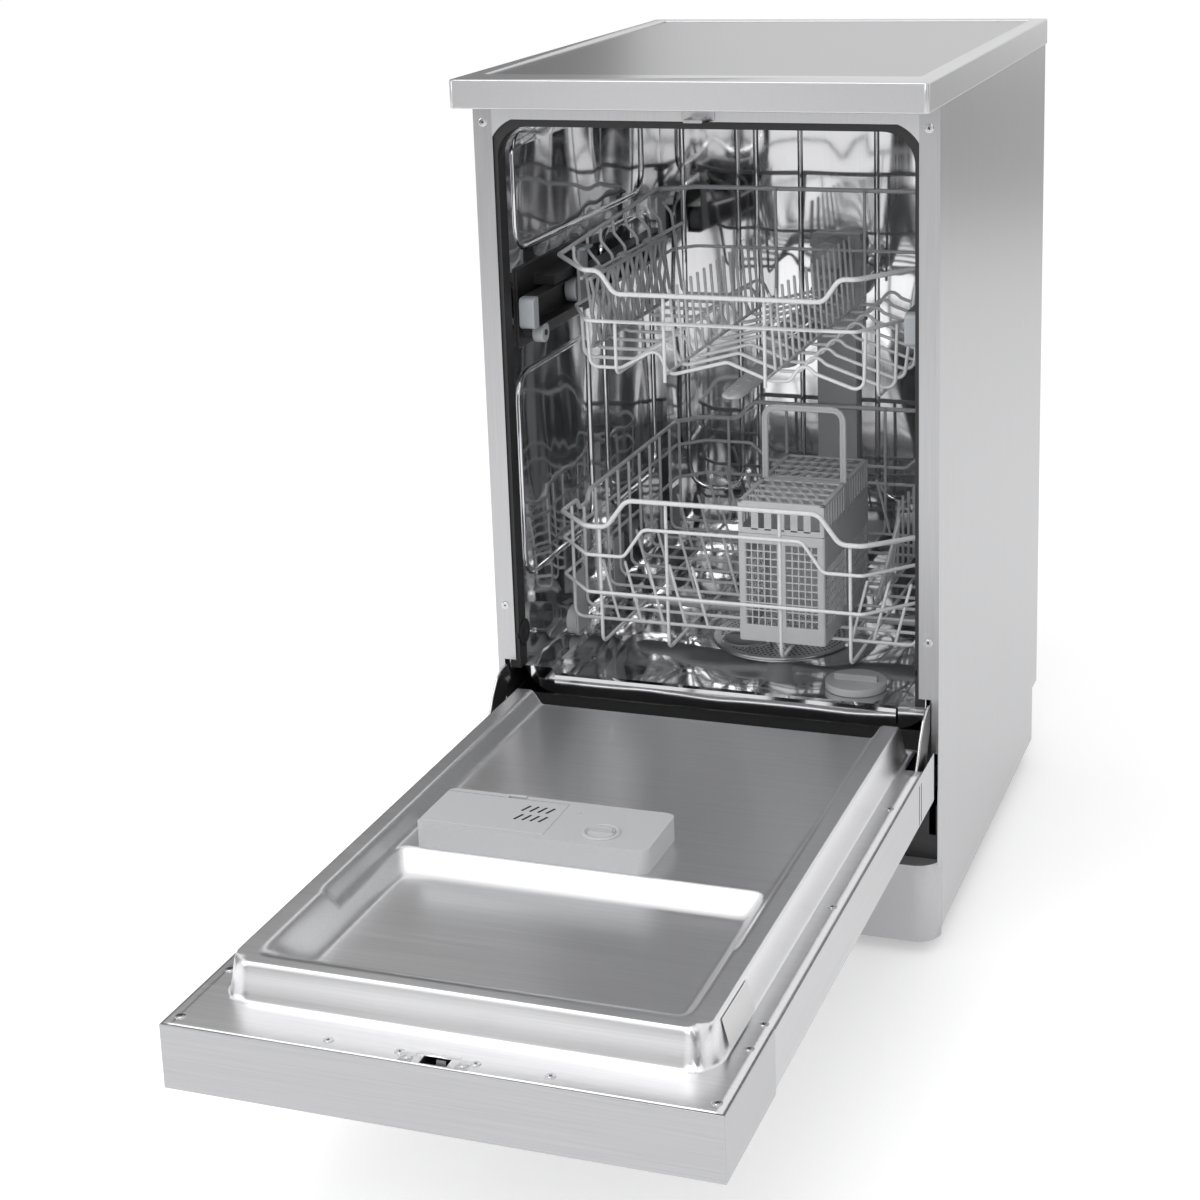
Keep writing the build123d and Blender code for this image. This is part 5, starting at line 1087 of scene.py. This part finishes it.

# %% [markdown]
# ## Small things in and on the cabinet
# The tub is stiffened by pressed beads, which are half-round wires sunk in its walls. The duct has a
# collar round each port, and the filter plate its holes, drawn as flat near-black discs of painted
# shade. On the back there are beads, screws and a bare plate.

# %% Cabinet details
beads = []
for side in (-1, 1):
    x = side * 211.4
    for (ya, yb), (za, zb) in (((60, 440), (664, 782)), ((300, 460), (330, 640)), ((50, 250), (330, 540))):
        ya, yb = deep(ya), deep(yb)
        beads.append(([(x, ya, za), (x, yb, za), (x, yb, zb), (x, ya, zb)], True, False))
for xa, xb in ((-184, -118), (-96, -44), (44, 96), (118, 184)):
    y = deep(504.4)
    beads.append(([(xa, y, 300), (xb, y, 300), (xb, y, 782), (xa, y, 782)], True, False))
tub_beads = wires("tub_beads", beads, 6.5, 26, mirror_tub, 12)
port_line = [(7.1, -1), (12.4, -1), (12.4, 1.4), (11.4, 2.2), (9.2, 2.2), (8.4, 1.2), (7.1, 1.2), (7.1, -1)]
ports = [lathe("port", port_line, (0, deep(490), level), (0, -1, 0), shelf_plastic, 36)
         for level in (591.5, 545.7)]
corners = []
for side in (-1, 1):
    arc = [(side * (170 + 41 * math.cos(a)), 764 + 41 * math.sin(a))
           for a in (math.radians(27 + 5 * i) for i in range(10))]
    outline = [(side * 206.5, arc[0][1])] + arc + [(arc[-1][0], 803.5), (side * 206.5, 803.5)]
    plate = plain_mesh("corner_plate", [(x, deep(0.9), z) for x, z in outline],
                       [tuple(range(len(outline)))[::side]], front_steel, MM)
    corners.append(worked(plate, SOLIDIFY={"thickness": 0.8 * MM}))
flap = lathe("flap", [(0, -4), (7.0, -4), (7.0, -3), (3.0, -2.2), (0, -2.0)], (0, deep(490), 545.7),
             (0, -1, 0), filter_grey, 30)
duct_ribs = [((x, deep(489.7), 554), (1.4, 1.4, 104), (0, 0, 0)) for x in (-21, 21)]
duct_ribs += [((0, deep(489.7), z), (42, 1.4, 1.4), (0, 0, 0)) for z in (502, 520, 606)]
duct_ribs += [((x, deep(491.5), z), (3.4, 4.0, 8.0), (0, 0, 0))
              for x in (-28, 28) for z in (512, 545, 578, 600)]
HOLE_PITCH = 5.2
ring_spots = []
for k in range(8):
    radius = 29.0 + HOLE_PITCH * k
    count = int(math.tau * radius / HOLE_PITCH)
    for a in (math.tau * i / count for i in range(count)):
        x, y = radius * math.cos(a), deep(255) + radius * math.sin(a)
        if math.hypot(x + 35, y - deep(231.5)) > 28:
            ring_spots.append(((x, y, 217.0), (0, 0, 0)))
# Each hole of the filter plate is a thin near-black disc: painted shade in place of an opening.
hole = lathe("hole", [(0, 0.05), (1.3, 0.05), (1.3, -0.1), (0, -0.1)], finish=dark_gap, sides=8)
perforation = fittings("perforation", hole, ring_spots, dark_gap)
bumper = [(0, 0), (13, 0), (13, 0.7), (12.4, 1.0), (10, 1.0), (9, 0.5), (6, 0.5), (5, 1.0), (0, 1.0)]
bumpers = [lathe("bumper", bumper, (side * 201.2, deep(16), 285), (-side, 0, 0), black_rubber, 40)
           for side in (-1, 1)]
facing_line = ((29.2, 216.0), (29.2, 232.0), (30.2, 235.4), (33.8, 237.0))
facing = plain_mesh("sill_facing", [(x, deep(d), z) for d, z in facing_line for x in (-176, 176)],
                    [(2 * j, 2 * j + 1, 2 * j + 3, 2 * j + 2) for j in range(len(facing_line) - 1)],
                    mirror_tub, MM)
facing = worked(facing, SOLIDIFY={"thickness": 0.3 * MM})
piece("cabinet_details", [tub_beads, flap, bars("duct_ribs", duct_ribs, duct_grey, 0.3), perforation, facing]
      + ports + corners + bumpers, "cabinet")

# %% Back of the cabinet
low_corner, high_corner = (Vector(c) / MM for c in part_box("rear_panel"))
back = high_corner.y
bead_y = back - 0.6
print("rear panel from", [round(v) for v in low_corner], "to", [round(v) for v in high_corner])
beads = []
for xa, xb, za, zb in ((-180, -20, 420, 780), (20, 180, 420, 780), (-180, 180, 190, 380)):
    beads.append(([(xa, bead_y, za), (xb, bead_y, za), (xb, bead_y, zb), (xa, bead_y, zb)], True, False))
back_beads = wires("back_beads", beads, 6.0, 22, galvanised, 12)
back_items = [((x, back, z), (-math.pi / 2, 0, 0)) for x in (-208, 208) for z in (180, 390, 600, 800)]
back_heads = fittings("back_heads", head, back_items, screw_steel)
# The screws' cross recesses are near-black crosses: painted shade in place of hollows.
back_crosses = fittings("back_crosses", recess, back_items, dark_gap)
plate = cuboid("bare_plate", (60, 150), (back - 0.1, back + 0.4), (250, 310), 0.1, sticker_white)
piece("back_details", [back_beads, back_heads, back_crosses, plate], "cabinet")

# %% [markdown]
# ### The docking cup
# The pipe under the upper rack ends in a pale dome, with a clip that holds it to the wire.

# %% Docking dome
dome = lathe("dome", [(0, 7), (5, 6.6), (10, 5.2), (14, 2.6), (16.6, -1), (17.2, -3), (17.2, -6), (0, -6)],
             (0, deep(449.5), 591.5), (0, -1, 0), sides=40)
nub = lathe("nub", [(0, 9.5), (3.4, 9.2), (4.4, 8), (4.4, 5), (0, 5)], (0, deep(449.5), 595), (0, -1, 0),
            sides=24)
clip = [cuboid("clip", (-9, 9), (deep(440), deep(450)), (568, 574), 1.0, shelf_plastic),
        cuboid("clip", (-11, -8), (deep(438), deep(450)), (565, 578), 0.8, shelf_plastic),
        cuboid("clip", (8, 11), (deep(438), deep(450)), (565, 578), 0.8, shelf_plastic)]
piece("docking_dome", [dome, nub] + clip, "upper_rack")
